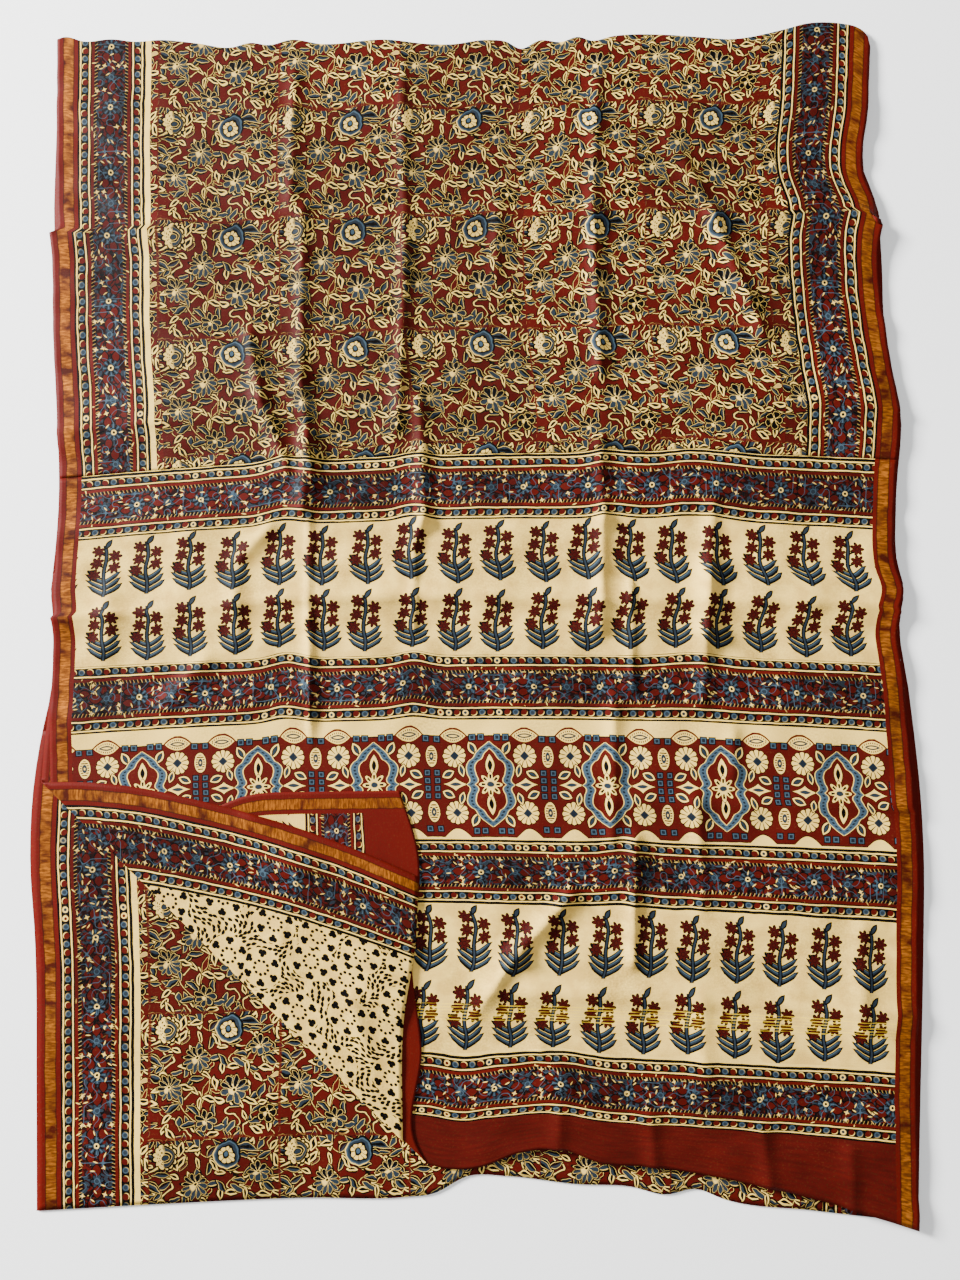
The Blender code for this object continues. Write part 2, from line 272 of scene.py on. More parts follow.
# The top layer's lines are drawn up beside its ridges: middle, rise and spreads across and along
SWAYS = np.array([
    # x,      y,     rise,   spread x, spread y
    (-0.262, 0.150, 0.008, 0.030, 0.120),
    (-0.256, -0.107, 0.009, 0.028, 0.090),
    (-0.088, 0.150, 0.006, 0.024, 0.110),
    (-0.086, -0.107, 0.008, 0.026, 0.070),
    (0.184, 0.150, 0.005, 0.030, 0.120),
    (0.300, 0.150, 0.009, 0.055, 0.090),
    (0.292, -0.090, 0.006, 0.050, 0.060),
    (0.195, -0.360, 0.006, 0.030, 0.060),
    (0.100, -0.640, 0.010, 0.050, 0.070),
    (-0.020, -0.640, -0.008, 0.030, 0.060),
])

# How far the folded top edge rises or dips from its even line
TOP_EDGE_WAVES = np.array([
    # across from the middle, rise
    (-0.585, 0.002),
    (-0.567, 0.009),
    (-0.540, 0.003),
    (-0.500, 0.007),
    (-0.466, 0.004),
    (-0.432, 0.007),
    (-0.381, 0.003),
    (-0.330, -0.003),
    (-0.304, 0.004),
    (-0.276, 0.001),
    (-0.245, 0.009),
    (-0.205, 0.003),
    (-0.110, 0.009),
    (-0.050, 0.002),
    (-0.020, 0.001),
    (0.035, 0.007),
    (0.060, 0.004),
    (0.080, -0.007),
    (0.108, 0.005),
    (0.138, 0.002),
    (0.163, 0.009),
    (0.181, 0.003),
    (0.212, 0.009),
    (0.282, 0.009),
    (0.333, 0.003),
    (0.384, -0.005),
    (0.452, -0.001),
    (0.490, 0.007),
    (0.520, 0.009),
    (0.560, 0.006),
])


# How a sheet's second UV map is shared out: the printed side, the rim's two edges, the wrong side
PRINTED_SHARE = 0.78
RIM_STRIP = (0.785, 0.795)
WRONG_SIDE_START = 0.80

# The prints are drawn in millimetres: how many are in a metre, and the prints' repeats
MM = 1000.0
DOT_PITCH = 11.3
BAND_MIDDLE = 47.5
BAND_FLOWER_PITCH = 89.0
BAND_STARTS = (95.0, 385.0, 640.0, 913.0)
BLOCK_WIDTH = 171.0
BLOCK_HEIGHT = 162.0
PLANT_PITCH = 60.2
PLANT_ROW_PITCH = 95.0
MEDALLION_PITCH = 155.4


def ease(value):
    """Smooth rise from 0 to 1 as the value goes from 0 to 1: three times its square less twice its cube."""
    held = np.clip(value, 0.0, 1.0)
    return held * held * (3.0 - 2.0 * held)


def through(value, table, column):
    """A smooth curve through a table's rows: a cubic between each two, sloped by their neighbours."""
    places, heights = table[:, 0], table[:, column]
    slopes = np.gradient(heights, places)
    held = np.clip(value, places[0], places[-1])
    at = np.clip(np.searchsorted(places, held) - 1, 0, len(places) - 2)
    step = places[at + 1] - places[at]
    t = (held - places[at]) / step
    start = (1 + 2 * t) * (1 - t) ** 2 * heights[at] + t * (1 - t) ** 2 * step * slopes[at]
    end = t ** 2 * (3 - 2 * t) * heights[at + 1] - t ** 2 * (1 - t) * step * slopes[at + 1]
    return start + end


def level_height(level):
    """Height of the middle of a flat layer above the floor."""
    return SOLID_THICKNESS / 2 + level * LAYER_PITCH


def levels_of(along):
    """Level of each point, from its place along the cloth."""
    return np.select((along > TOP_INNER, along > BOTTOM, along > TOP_OUTER), (2, 1, 0), 3)


def ripple(x, y, length, seed):
    """Even, seeded unevenness between -1 and 1: a sum of sine waves in many directions."""
    draw = np.random.default_rng(seed)
    total = np.zeros(np.shape(x))
    waves = 8
    for turn, start, stretch in draw.uniform(0, 1, (waves, 3)):
        angle = 2 * math.pi * turn
        pitch = length * (0.7 + 0.8 * stretch)
        total += np.sin(2 * math.pi * ((x * math.cos(angle) + y * math.sin(angle)) / pitch + start))
    return total / math.sqrt(waves)


def bowed_line(across, along):
    """Y of a line across the top layer: a parabola through its left edge, middle and right edge."""
    left, middle, right = (through(along, TOP_LAYER_LINES, i) for i in (1, 2, 3))
    side = 2 * across / WIDTH - 1
    return middle + (right - left) / 2 * side + ((right + left) / 2 - middle) * side ** 2


def top_corner(across):
    """How far the top edge rises past its bowed line: a swell, waves and a round right corner."""
    swell = TOP_SWELL * np.exp(-((across - WIDTH / 2 - TOP_SWELL_AT) / TOP_SWELL_SPREAD) ** 2)
    into_corner = np.clip(1 - (WIDTH - across) / CORNER_ROUND, 0.0, 1.0)
    waves = through(across - WIDTH / 2, TOP_EDGE_WAVES, 1)
    return swell + waves - CORNER_ROUND * (1 - np.sqrt(1 - into_corner ** 2))


def lay_out(across, along):
    """X and Y of each point with the corner not yet turned, from its place in the flat cloth.

    Along each layer Y runs evenly between its two ends, and round a fold it is a half circle.
    X runs evenly between the side edges at that Y.
    """
    level = levels_of(along)
    top = bowed_line(across, np.full(np.shape(along), TOP_OUTER)) + top_corner(across) - OUTER_RADIUS
    from_middle = across - WIDTH / 2
    fold = through(from_middle, BOTTOM_FOLD_LINE, 1)
    blouse_end = through(from_middle, BLOUSE_END_LINE, 1)
    reach_inner = INNER_RADIUS * math.pi / 2
    reach_outer = OUTER_RADIUS * math.pi / 2

    share = along / (TOP_OUTER - reach_outer)
    wave = through(from_middle, CUT_END_LINE, 1) - bowed_line(across, np.zeros(np.shape(across)))
    y = bowed_line(across, share * TOP_OUTER) - share * OUTER_RADIUS
    y += wave * ease(1 - along / CUT_END_REACH)
    y += top_corner(across) * ease((along - BODY_START) / (TOP_OUTER - BODY_START))
    spans = (
        (0, TOP_OUTER + reach_outer, BOTTOM - reach_inner, top, fold),
        (1, BOTTOM + reach_inner, TOP_INNER - reach_inner, fold, top),
        (2, TOP_INNER + reach_inner, LENGTH, top, blouse_end),
    )
    for span_level, start, end, y_start, y_end in spans:
        share = np.clip((along - start) / (end - start), 0.0, 1.0)
        y = np.where(level == span_level, y_start + share * (y_end - y_start), y)
    for place, radius, _middle, _rise, way in FOLDS:
        angle = (along - place) / radius
        line = top if way > 0 else fold
        y = np.where(np.abs(angle) <= QUARTER_TURN, line + way * radius * np.cos(angle), y)

    edges = [through(y, SIDE_EDGES, i) for i in (1, 2, 3, 4)]
    standing_out = np.array(STANDING_OUT)[level] * ease((top - y) / EASE)
    left = edges[0] + (edges[2] - edges[0]) * standing_out
    right = edges[1] + (edges[3] - edges[1]) * standing_out
    below_start = np.clip((BEND_START[1] - y) / (BEND_START[1] - BEND_END[1]), 0.0, 1.2)
    drawn_in = np.where(level == 2, BLOUSE_DRAWN_IN * below_start ** BLOUSE_DRAWN_POWER, 0.0)
    kink = END_KINK * np.exp(-((y - END_KINK_Y) / END_KINK_SPREAD) ** 2)
    drawn_in += np.where(level == 3, END_DRAWN_IN * ease(4 * below_start) + kink, 0.0)
    x = left + drawn_in + across / WIDTH * (right - left - drawn_in)
    sway = sum(rise * np.exp(-((x - at_x) / wide) ** 2 - ((y - at_y) / tall) ** 2)
               for at_x, at_y, rise, wide, tall in SWAYS)
    jog = 0.0
    for number, size in enumerate(CREASE_JOGS, start=1):
        past = along - number * TOP_OUTER / CREASE_PANELS
        jog = jog - size * np.sign(past) * np.exp(-np.abs(past) / CREASE_JOG_REACH) * (2 * x / WIDTH) ** 3
    return np.where(level == 3, x + jog, x), np.where(level == 3, y + sway, y)


def flat_height(along):
    """Height of each point before creases: flat layers, joined by half circles at the folds."""
    z = level_height(levels_of(along))
    for place, radius, middle, rise, _way in FOLDS:
        angle = (along - place) / radius
        z = np.where(np.abs(angle) <= QUARTER_TURN, level_height(middle) + rise * radius * np.sin(angle), z)
    return z


def ridge_sum(x, y, ridges):
    """Sum of ridges. Each falls off from the line between its ends as a bell, or as a peak if sharp."""
    total = np.zeros(np.shape(x))
    for x0, y0, x1, y1, height, spread, sharp in ridges:
        run_x, run_y = x1 - x0, y1 - y0
        share = np.clip(((x - x0) * run_x + (y - y0) * run_y) / (run_x ** 2 + run_y ** 2), 0.0, 1.0)
        gap = np.hypot(x - x0 - share * run_x, y - y0 - share * run_y) / spread
        total += height * ((1 - sharp) * np.exp(-gap ** 2) + sharp * np.exp(-2 * gap))
    return total


def top_layer_lift(x, y, along):
    """Rise of the top layer above its flat place: ridges, packing creases and a gentle unevenness."""
    lift = SETTLED_LIFT + RIDGE_STRENGTH * ridge_sum(x, y, RIDGES)
    for height, length, seed in TOP_RIPPLES:
        lift += height * ripple(x, y, length, seed)
    for number, height in enumerate(CREASE_HEIGHTS, start=1):
        place = number * TOP_OUTER / CREASE_PANELS + CREASE_WANDER * np.sin(9.0 * x + number)
        gap = np.abs(along - place) / CREASE_SPREAD
        lift += height * (0.55 * np.exp(-gap * 1.6) + 0.45 * np.exp(-(gap / 3) ** 2))
    covered = ease((0.030 - x) / EASE) * ease((-0.215 - y) / EASE + 1.0)
    near_fold = ease((TOP_OUTER - along) / (1.5 * EASE))
    return np.maximum(lift, 0.0) * (1 - covered) * near_fold


def bend_out():
    """Unit vector in the plane that points out of the cloth beyond the corner's bend."""
    run = (BEND_END - BEND_START) / np.linalg.norm(BEND_END - BEND_START)
    return np.array((run[1], -run[0]))


def turned_corner(x, y, z, level):
    """Turn the corner over: past the bend the two upper layers run round it and lie back."""
    out = bend_out()
    beyond = (x - BEND_START[0]) * out[0] + (y - BEND_START[1]) * out[1]
    for turned_level, radius in ((3, INNER_RADIUS), (2, OUTER_RADIUS)):
        here = (level == turned_level) & (beyond > 0)
        angle = np.minimum(beyond / radius, math.pi)
        past = np.maximum(beyond - math.pi * radius, 0.0)
        shift = radius * np.sin(angle) - past - beyond
        x = np.where(here, x + shift * out[0], x)
        y = np.where(here, y + shift * out[1], y)
        z = np.where(here, level_height(3.5) - radius * np.cos(angle), z)
        if turned_level == 2:
            lift = ridge_sum(x, y, CORNER_RIDGES) + 0.0008 * (1.2 + ripple(x, y, 0.090, 21))
            z = z + np.where(here, np.maximum(lift, 0.0) * ease(past / EASE), 0.0)
    return x, y, z


def lower_layer_lift(x, y, along):
    """Rise of the second lowest layer where the turned corner leaves it open: a gentle unevenness."""
    out = bend_out()
    beyond = (x - BEND_START[0]) * out[0] + (y - BEND_START[1]) * out[1]
    lift = 0.0012 * (1.2 + ripple(x, y, 0.110, 31))
    near_fold = ease((along - BOTTOM) / EASE)
    return np.maximum(lift, 0.0) * ease((beyond - 0.015) / EASE) * near_fold


def fold_up(x, y, along):
    """Final place of each laid out point, with its folds, creases and the turned corner."""
    level = levels_of(along)
    z = flat_height(along)
    z = z + np.where(level == 3, top_layer_lift(x, y, along), 0.0)
    z = z + np.where(level == 1, lower_layer_lift(x, y, along), 0.0)
    return np.stack(turned_corner(x, y, z, level), axis=-1)


def places(marks, step):
    """Places from the first mark to the last, through every mark, about a step apart."""
    runs = [np.linspace(a, b, max(1, round((b - a) / step)) + 1)[:-1] for a, b in zip(marks, marks[1:])]
    return np.concatenate(runs + [np.array(marks[-1:], dtype=float)])


def run_to_fold(start, step, place, radius):
    """Places along the cloth from a start to a fold, and on round its half circle."""
    reach = radius * math.pi / 2
    round_it = np.linspace(place - reach, place + reach, 9)
    return np.concatenate((places((start, place - reach), step)[:-1], round_it))


def laid_sheet(name, columns, rows):
    """A mesh of quads over a grid of places, laid out flat, that holds each point's place along as Z."""
    across, along = (part.ravel() for part in np.meshgrid(columns, rows))
    x, y = lay_out(across, along)
    index = np.arange(len(across)).reshape(len(rows), len(columns))
    corners = (index[:-1, :-1], index[:-1, 1:], index[1:, 1:], index[1:, :-1])
    faces = np.stack([corner.ravel() for corner in corners], axis=-1)
    mesh = bpy.data.meshes.new(name)
    mesh.from_pydata(np.stack((x, y, along), axis=-1), [], faces)
    flat = mesh.uv_layers.new(name="cloth")
    flat.data.foreach_set("uv", np.stack((across, along), axis=-1)[faces.ravel()].ravel())
    return mesh


def cut_corner(mesh, radius):
    """Cut rows of edges into a laid out sheet where its corner bends, so that the bend is straight."""
    out = bend_out()
    sheet = bmesh.new()
    sheet.from_mesh(mesh)
    for step in range(BEND_STEPS + 1):
        point = BEND_START + out * (math.pi * radius * step / BEND_STEPS)
        bmesh.ops.bisect_plane(
            sheet,
            geom=sheet.verts[:] + sheet.edges[:] + sheet.faces[:],
            dist=0.0001,
            plane_co=(point[0], point[1], 0.0),
            plane_no=(out[0], out[1], 0.0),
        )
    sheet.to_mesh(mesh)
    sheet.free()


def corner_values(mesh):
    """The cloth coordinates of every face corner."""
    values = np.empty(len(mesh.loops) * 2, dtype=np.float32)
    mesh.uv_layers["cloth"].data.foreach_get("uv", values)
    return values.reshape(-1, 2)


def corner_counts(mesh):
    """How many corners each face has."""
    totals = np.empty(len(mesh.polygons), dtype=np.int32)
    mesh.polygons.foreach_get("loop_total", totals)
    return totals


def zone_of_faces(mesh, zones):
    """Number of the printed zone that holds each face's middle, from the zones' boxes on the flat cloth."""
    totals = corner_counts(mesh)
    starts = np.cumsum(totals) - totals
    middle = np.add.reduceat(corner_values(mesh), starts, axis=0) / totals[:, None]
    found = np.zeros(len(totals), dtype=np.int32)
    for number, (_draw, low_u, high_u, low_s, high_s) in enumerate(zones):
        above = (middle > (low_u, low_s)).all(axis=1)
        below = (middle < (high_u, high_s)).all(axis=1)
        found[above & below] = number
    return found


def bake_map(mesh, box, faces, points):
    """A second UV map with room for both sides: the printed side, the rim's strip, the wrong side."""
    low_u, high_u, low_s, high_s = box
    corners = corner_values(mesh)
    face_of_corner = np.repeat(np.arange(len(mesh.polygons)), corner_counts(mesh))
    point_of_corner = np.empty(len(mesh.loops), dtype=np.int32)
    mesh.loops.foreach_get("vertex_index", point_of_corner)
    u = (corners[:, 0] - low_u) / (high_u - low_u)
    s = (corners[:, 1] - low_s) / (high_s - low_s)
    v = np.where(face_of_corner >= faces, WRONG_SIDE_START + (1 - WRONG_SIDE_START) * s, PRINTED_SHARE * s)
    rim = face_of_corner >= 2 * faces
    v = np.where(rim, np.where(point_of_corner < points, *RIM_STRIP), v)
    along_side = (u < 0.001) | (u > 0.999)
    u = np.where(rim & along_side, s, u)
    layer = mesh.uv_layers.new(name="OFBake")
    layer.data.foreach_set("uv", np.stack((u, v), axis=-1).astype(np.float32).ravel())
    wrong = (np.arange(len(mesh.polygons)) >= faces).astype(np.float32)
    mesh.attributes.new("wrong_side", "FLOAT", "FACE").data.foreach_set("value", wrong)


def make_sheet(name, columns, rows, zones, corner_radius=None):
    """A finished sheet of the saree: laid out, folded, printed by zones, given its thickness and maps."""
    cloth = bpy.context.scene.saree_cloth
    mesh = laid_sheet(name, columns, rows)
    if corner_radius is not None:
        cut_corner(mesh, corner_radius)
    laid = np.empty(len(mesh.vertices) * 3, dtype=np.float32)
    mesh.vertices.foreach_get("co", laid)
    x, y, along = laid.reshape(-1, 3).astype(float).T
    mesh.vertices.foreach_set("co", fold_up(x, y, along).astype(np.float32).ravel())
    prints = list(dict.fromkeys(zone[0] for zone in zones))
    for draw in prints:
        mesh.materials.append(material_of(draw))
    slots = np.array([prints.index(zone[0]) for zone in zones], dtype=np.int32)
    mesh.polygons.foreach_set("material_index", slots[zone_of_faces(mesh, zones)])
    faces, points = len(mesh.polygons), len(mesh.vertices)
    draft = bpy.data.objects.new(name + "_draft", mesh)
    bpy.context.scene.collection.objects.link(draft)
    wall = draft.modifiers.new("thickness", "SOLIDIFY")
    wall.thickness = cloth.thickness
    wall.offset = 0.0
    wall.use_even_offset = True
    graph = bpy.context.evaluated_depsgraph_get()
    thick = bpy.data.meshes.new_from_object(draft.evaluated_get(graph))
    bpy.data.objects.remove(draft, do_unlink=True)
    thick.name = name
    bake_map(thick, (columns[0], columns[-1], rows[0], rows[-1]), faces, points)
    thick.polygons.foreach_set("use_smooth", np.ones(len(thick.polygons), dtype=bool))
    thick.uv_layers.active = thick.uv_layers["cloth"]
    piece = bpy.data.objects.new(name, thick)
    bpy.context.scene.collection.objects.link(piece)
    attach(piece, "root")
    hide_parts(CLOTH_NODE)
    return piece


class Term:
    """A number or a socket of a material. Sums, products and shapes of terms become Math nodes."""

    def __init__(self, tree, value):
        self.tree = tree
        self.value = value

    def node(self, operation, *others, clamp=False):
        """A Math node on this term and the others."""
        node = self.tree.nodes.new("ShaderNodeMath")
        node.operation = operation
        node.use_clamp = clamp
        for socket, term in zip(node.inputs, (self, *others)):
            value = term.value if isinstance(term, Term) else term
            if isinstance(value, (int, float)):
                socket.default_value = value
            else:
                self.tree.links.new(value, socket)
        return Term(self.tree, node.outputs[0])

    def __add__(self, other):
        return self.node("ADD", other)

    def __sub__(self, other):
        return self.node("SUBTRACT", other)

    def __rsub__(self, other):
        return Term(self.tree, other).node("SUBTRACT", self)

    def __mul__(self, other):
        return self.node("MULTIPLY", other)

    def __abs__(self):
        return self.node("ABSOLUTE")

    def wrap(self, low, high):
        """This term carried round into a range."""
        return self.node("WRAP", high, low)

    def wave(self, count):
        """Petals round a middle: from 0 in the gaps to 1 at the tips, for a direction in radians."""
        return abs(self.node("MULTIPLY", count / 2).node("COSINE"))

    def under(self, limit, soft=0.5):
        """1 where this term is below a limit and 0 above it, with a soft edge."""
        if isinstance(limit, Term):
            return (limit - self).node("MULTIPLY_ADD", 1 / soft, 0.5, clamp=True)
        return self.node("MULTIPLY_ADD", -1 / soft, limit / soft + 0.5, clamp=True)

    def over(self, limit, soft=0.5):
        """1 where this term is above a limit and 0 below it, with a soft edge."""
        if isinstance(limit, Term):
            return limit.under(self, soft)
        return self.node("MULTIPLY_ADD", 1 / soft, 0.5 - limit / soft, clamp=True)

    def near(self, place, reach, soft=0.5):
        """1 where this term is within reach of a place."""
        return abs(self - place).under(reach, soft)

    def either(self, other):
        """The greater of two terms."""
        return self.node("MAXIMUM", other)

    def both(self, other):
        """The lesser of two terms."""
        return self.node("MINIMUM", other)

    def off(self):
        """1 less this term."""
        return 1 - self


def gap(x, y):
    """Distance of a point from its motif's middle."""
    return (x * x + y * y).node("SQRT")


def direction(x, y):
    """Direction of a point from its motif's middle, in radians."""
    return y.node("ARCTAN2", x)


def turned(x, y, degrees):
    """A motif's own axes, turned on the cloth."""
    c, s = math.cos(math.radians(degrees)), math.sin(math.radians(degrees))
    return x * c + y * s, y * c - x * s


def leaf(x, y, half_length, half_width):
    """How far inside a pointed leaf a point is: its width shrinks with the square of the way along it."""
    along = x * (1 / half_length)
    return (along * along).node("MULTIPLY_ADD", -half_width, half_width) - abs(y)


class Print:
    """A printed cloth material in the making, with the flat cloth's coordinates in millimetres."""

    def __init__(self, name, ground):
        self.material = bpy.data.materials.new(name)
        self.material.use_nodes = True
        self.tree = self.material.node_tree
        self.inks = bpy.context.scene.saree_inks
        self.colour = tuple(ground)
        self.metal = None
        place = self.tree.nodes.new("ShaderNodeUVMap")
        place.uv_map = "cloth"
        split = self.tree.nodes.new("ShaderNodeSeparateXYZ")
        self.tree.links.new(place.outputs[0], split.inputs[0])
        self.flat_u = Term(self.tree, split.outputs[0]) * MM
        self.flat_s = Term(self.tree, split.outputs[1]) * MM
        shake = self.noise(self.flat_u, self.flat_s, 26.0, detail=3.0, colour=True)
        red, green, _blue = self.parts(shake)
        self.u = self.flat_u + (red - 0.5) * self.inks.hand_shake
        self.s = self.flat_s + (green - 0.5) * self.inks.hand_shake
        self.from_edge = self.u.both(WIDTH * MM - self.u)
        side = self.tree.nodes.new("ShaderNodeAttribute")
        side.attribute_name = "wrong_side"
        self.wrong_side = Term(self.tree, side.outputs["Fac"])

    def point(self, x, y):
        """A vector of two terms or numbers."""
        node = self.tree.nodes.new("ShaderNodeCombineXYZ")
        for socket, term in zip(node.inputs, (x, y)):
            if isinstance(term, Term):
                self.tree.links.new(term.value, socket)
            else:
                socket.default_value = term
        return node.outputs[0]

    def parts(self, vector):
        """The three terms of a vector."""
        node = self.tree.nodes.new("ShaderNodeSeparateXYZ")
        self.tree.links.new(vector, node.inputs[0])
        return [Term(self.tree, socket) for socket in node.outputs]

    def noise(self, x, y, size, detail=2.0, colour=False):
        """Cloudy unevenness of a size in millimetres."""
        node = self.tree.nodes.new("ShaderNodeTexNoise")
        node.inputs["Scale"].default_value = 1.0 / size
        node.inputs["Detail"].default_value = detail
        self.tree.links.new(self.point(x, y), node.inputs["Vector"])
        return node.outputs["Color"] if colour else Term(self.tree, node.outputs["Fac"])

    def chance(self, x, y):
        """Even chances for whole numbers x and y, as three terms from 0 to 1."""
        node = self.tree.nodes.new("ShaderNodeTexWhiteNoise")
        node.noise_dimensions = "2D"
        self.tree.links.new(self.point(x, y), node.inputs["Vector"])
        return self.parts(node.outputs["Color"])

    def cells(self, x, y, size, scatter):
        """Scattered middles a size apart: place from the nearest one, and three chances of its own."""
        node = self.tree.nodes.new("ShaderNodeTexVoronoi")
        node.voronoi_dimensions = "2D"
        node.inputs["Scale"].default_value = 1.0 / size
        node.inputs["Randomness"].default_value = scatter
        self.tree.links.new(self.point(x, y), node.inputs["Vector"])
        middle_x, middle_y, _z = self.parts(node.outputs["Position"])
        return x - middle_x, y - middle_y, self.parts(node.outputs["Color"])

    def inlay(self, depth, *layers, soft=0.5):
        """Lay inks from the outside in: each covers what lies deeper than its limit."""
        for limit, colour in layers:
            self.lay(depth.over(limit, soft), colour)

    def discs(self, distance, *layers, soft=0.5):
        """Lay inks from the outside in: each covers what lies nearer than its limit."""
        for limit, colour in layers:
            self.lay(distance.under(limit, soft), colour)

    def lay(self, mask, colour):
        """Lay an ink over what is there already."""
        node = self.tree.nodes.new("ShaderNodeMix")
        node.data_type = "RGBA"
        self.tree.links.new(mask.value, node.inputs[0])
        for socket, value in ((node.inputs[6], self.colour), (node.inputs[7], colour)):
            if isinstance(value, bpy.types.NodeSocket):
                self.tree.links.new(value, socket)
            else:
                socket.default_value = (*value[:3], 1.0)
        self.colour = node.outputs[2]

    def stain(self):
        """Faint blotches of dye on the cream ground."""
        blotch = self.noise(self.flat_u, self.flat_s, 26.0, detail=5.0)
        self.lay(blotch.over(0.50, 0.2) * 0.26, self.inks.gold)

    def finish(self):
        """Worn ink, the paler wrong side, the weave and the soft shine of cotton-silk."""
        inks = self.inks
        wear = self.noise(self.flat_u, self.flat_s, 3.0, detail=4.0)
        cloud = self.noise(self.flat_u, self.flat_s, 90.0, detail=3.0)
        self.lay(wear.over(0.64, 0.16) * 0.02, inks.cream)
        self.lay(cloud.over(0.52, 0.25) * wear.over(0.48, 0.3) * 0.28, inks.black)
        self.lay(self.wrong_side * 0.10, inks.selvedge_red)

        threads = (self.flat_u * 5.2).node("SINE") + (self.flat_s * 4.6).node("SINE")
        slub = self.noise(self.flat_u * 0.12, self.flat_s, 1.6, detail=2.0)
        bump = self.tree.nodes.new("ShaderNodeBump")
        bump.inputs["Strength"].default_value = 0.35
        bump.inputs["Distance"].default_value = 0.0004
        self.tree.links.new((threads * 0.15 + slub + wear * 0.6).value, bump.inputs["Height"])
        shader = self.tree.nodes["Principled BSDF"]
        self.tree.links.new(self.colour, shader.inputs["Base Color"])
        self.tree.links.new(bump.outputs["Normal"], shader.inputs["Normal"])
        self.tree.links.new((slub * 0.25 + 0.48).value, shader.inputs["Roughness"])
        if self.metal is not None:
            self.tree.links.new(self.metal.value, shader.inputs["Metallic"])
        shader.inputs["Specular IOR Level"].default_value = 0.05
        return self.material


def dot_line(cloth, q, b):
    """A line of dots between two pale lines, 21 mm wide: q runs across it and b along it."""
    inks = cloth.inks
    cloth.lay(q.under(19.4), inks.black)
    cloth.lay(abs(q - 10.2).near(6.5, 0.95), inks.cream)
    x, y = q - 10.2, (b - DOT_PITCH / 2).wrap(-DOT_PITCH / 2, DOT_PITCH / 2)
    odd = b.wrap(0.0, 2 * DOT_PITCH).under(DOT_PITCH, 0.1)
    rare, _second, _third = cloth.chance((b * (1 / DOT_PITCH)).node("FLOOR"), 3.0)
    r = gap(x, y)
    cloth.lay(r.under(4.5) * odd, inks.slate)
    cloth.lay(r.near(3.1, 0.5) * odd, inks.pale_blue)
    cloth.lay(r.under(4.3) * odd.off(), inks.madder)
    cloth.lay(r.under(4.5) * gap(x - 1.3, y + 0.8).over(4.9) * (odd.off() * 0.7 + 0.3), inks.cream)
    cloth.lay(r.near(2.9, 0.8) * rare.over(0.96, 0.01), inks.cream)


def strokes(cloth, x, y, size, half_length, half_width, shares):
    """Short strokes that lie every way: each ink covers those strokes whose chance is above its share."""
    x, y, (one, two, _three) = cloth.cells(x, y, size, 0.85)
    angle = one * (2 * math.pi)
    c, s = angle.node("COSINE"), angle.node("SINE")
    inside = leaf(x * c + y * s, y * c - x * s, half_length, half_width).over(0.0)
    for share, colour in shares:
        cloth.lay(inside * two.over(share, 0.02), colour)


def floral_strip(cloth, a, b):
    """A dense strip of flowers, 57 mm wide: a runs across from its middle and b along it."""
    inks = cloth.inks
    side = abs(a)
    cloth.lay(side.under(28.5), inks.maroon)
    strokes(cloth, a, b, 8.0, 5.4, 2.3, ((0.0, inks.madder), (0.60, inks.slate)))
    strokes(cloth, a + 50.0, b, 7.4, 5.2, 1.5, ((0.0, inks.slate), (0.40, inks.black), (0.72, inks.madder)))
    slant = b + side * 0.4
    comb = side.over(19.6) * side.under(24.0)
    cloth.lay(comb * slant.wrap(0.0, 5.2).under(2.9), inks.black)
    cloth.lay(comb * (slant + 2.4).wrap(0.0, 5.2).under(0.9) * 0.4, inks.cream)
    cloth.lay(side.near(26.2, 2.2), inks.selvedge_red)

    half = BAND_FLOWER_PITCH / 2
    x = b.wrap(-half, half)
    reach = abs(x)
    for blade in (leaf(reach - 14.5, side - 7.8, 7.5, 4.8), leaf(reach - 30.5, a, 8.0, 5.6)):
        cloth.inlay(blade, (-1.8, inks.black), (0.0, inks.madder))
    r, turn = gap(a, x), direction(a, x)
    petal = turn.wave(8)
    cloth.lay(r.under(petal * 5.0 + 7.5), inks.black)
    cloth.lay(petal.over(0.55, 0.1) * r.under(11.5), inks.slate)
    cloth.lay(petal.over(0.94, 0.05) * r.near(8.5, 2.4), inks.pale_blue)
    cloth.lay(r.under(4.6), inks.slate)
    cloth.lay(r.near(2.7, 0.95), inks.cream)
    cloth.lay(r.under(1.8), inks.black)

    r, turn = gap(a, half - reach), direction(a, half - reach)
    star = turn.wave(6) * 5.5 + 3.0
    cloth.discs(r, (star + 1.3, inks.black), (star, inks.slate))
    cloth.lay(r.near(3.4, 0.5), inks.pale_blue)

    crosses = (reach - 27.0, side - 9.8, 20.0), (reach - 26.0, side - 19.6, -12.0)
    for cross in crosses:
        cross_x, cross_y = turned(*cross)
        arms = (abs(cross_x) + abs(cross_y) * 0.4).both(abs(cross_y) + abs(cross_x) * 0.4)
        cloth.lay(arms.under(1.5) * cloth.noise(a, b, 22.0, detail=1.0).over(0.46, 0.02), inks.cream)
    wisp = cloth.noise(a, b + 60.0, 17.0, detail=0.0)
    cloth.lay(wisp.near(0.5, 0.012, 0.008) * side.under(21.0), inks.pale_blue)
    strokes(cloth, a, b + 60.0, 9.5, 3.6, 0.75, ((0.72, inks.cream),))
    ink, _second, _third = cloth.chance((b * (1 / BAND_FLOWER_PITCH)).node("FLOOR"), 7.0)
    cloth.lay(ink.over(0.60, 0.05) * 0.35, inks.black)


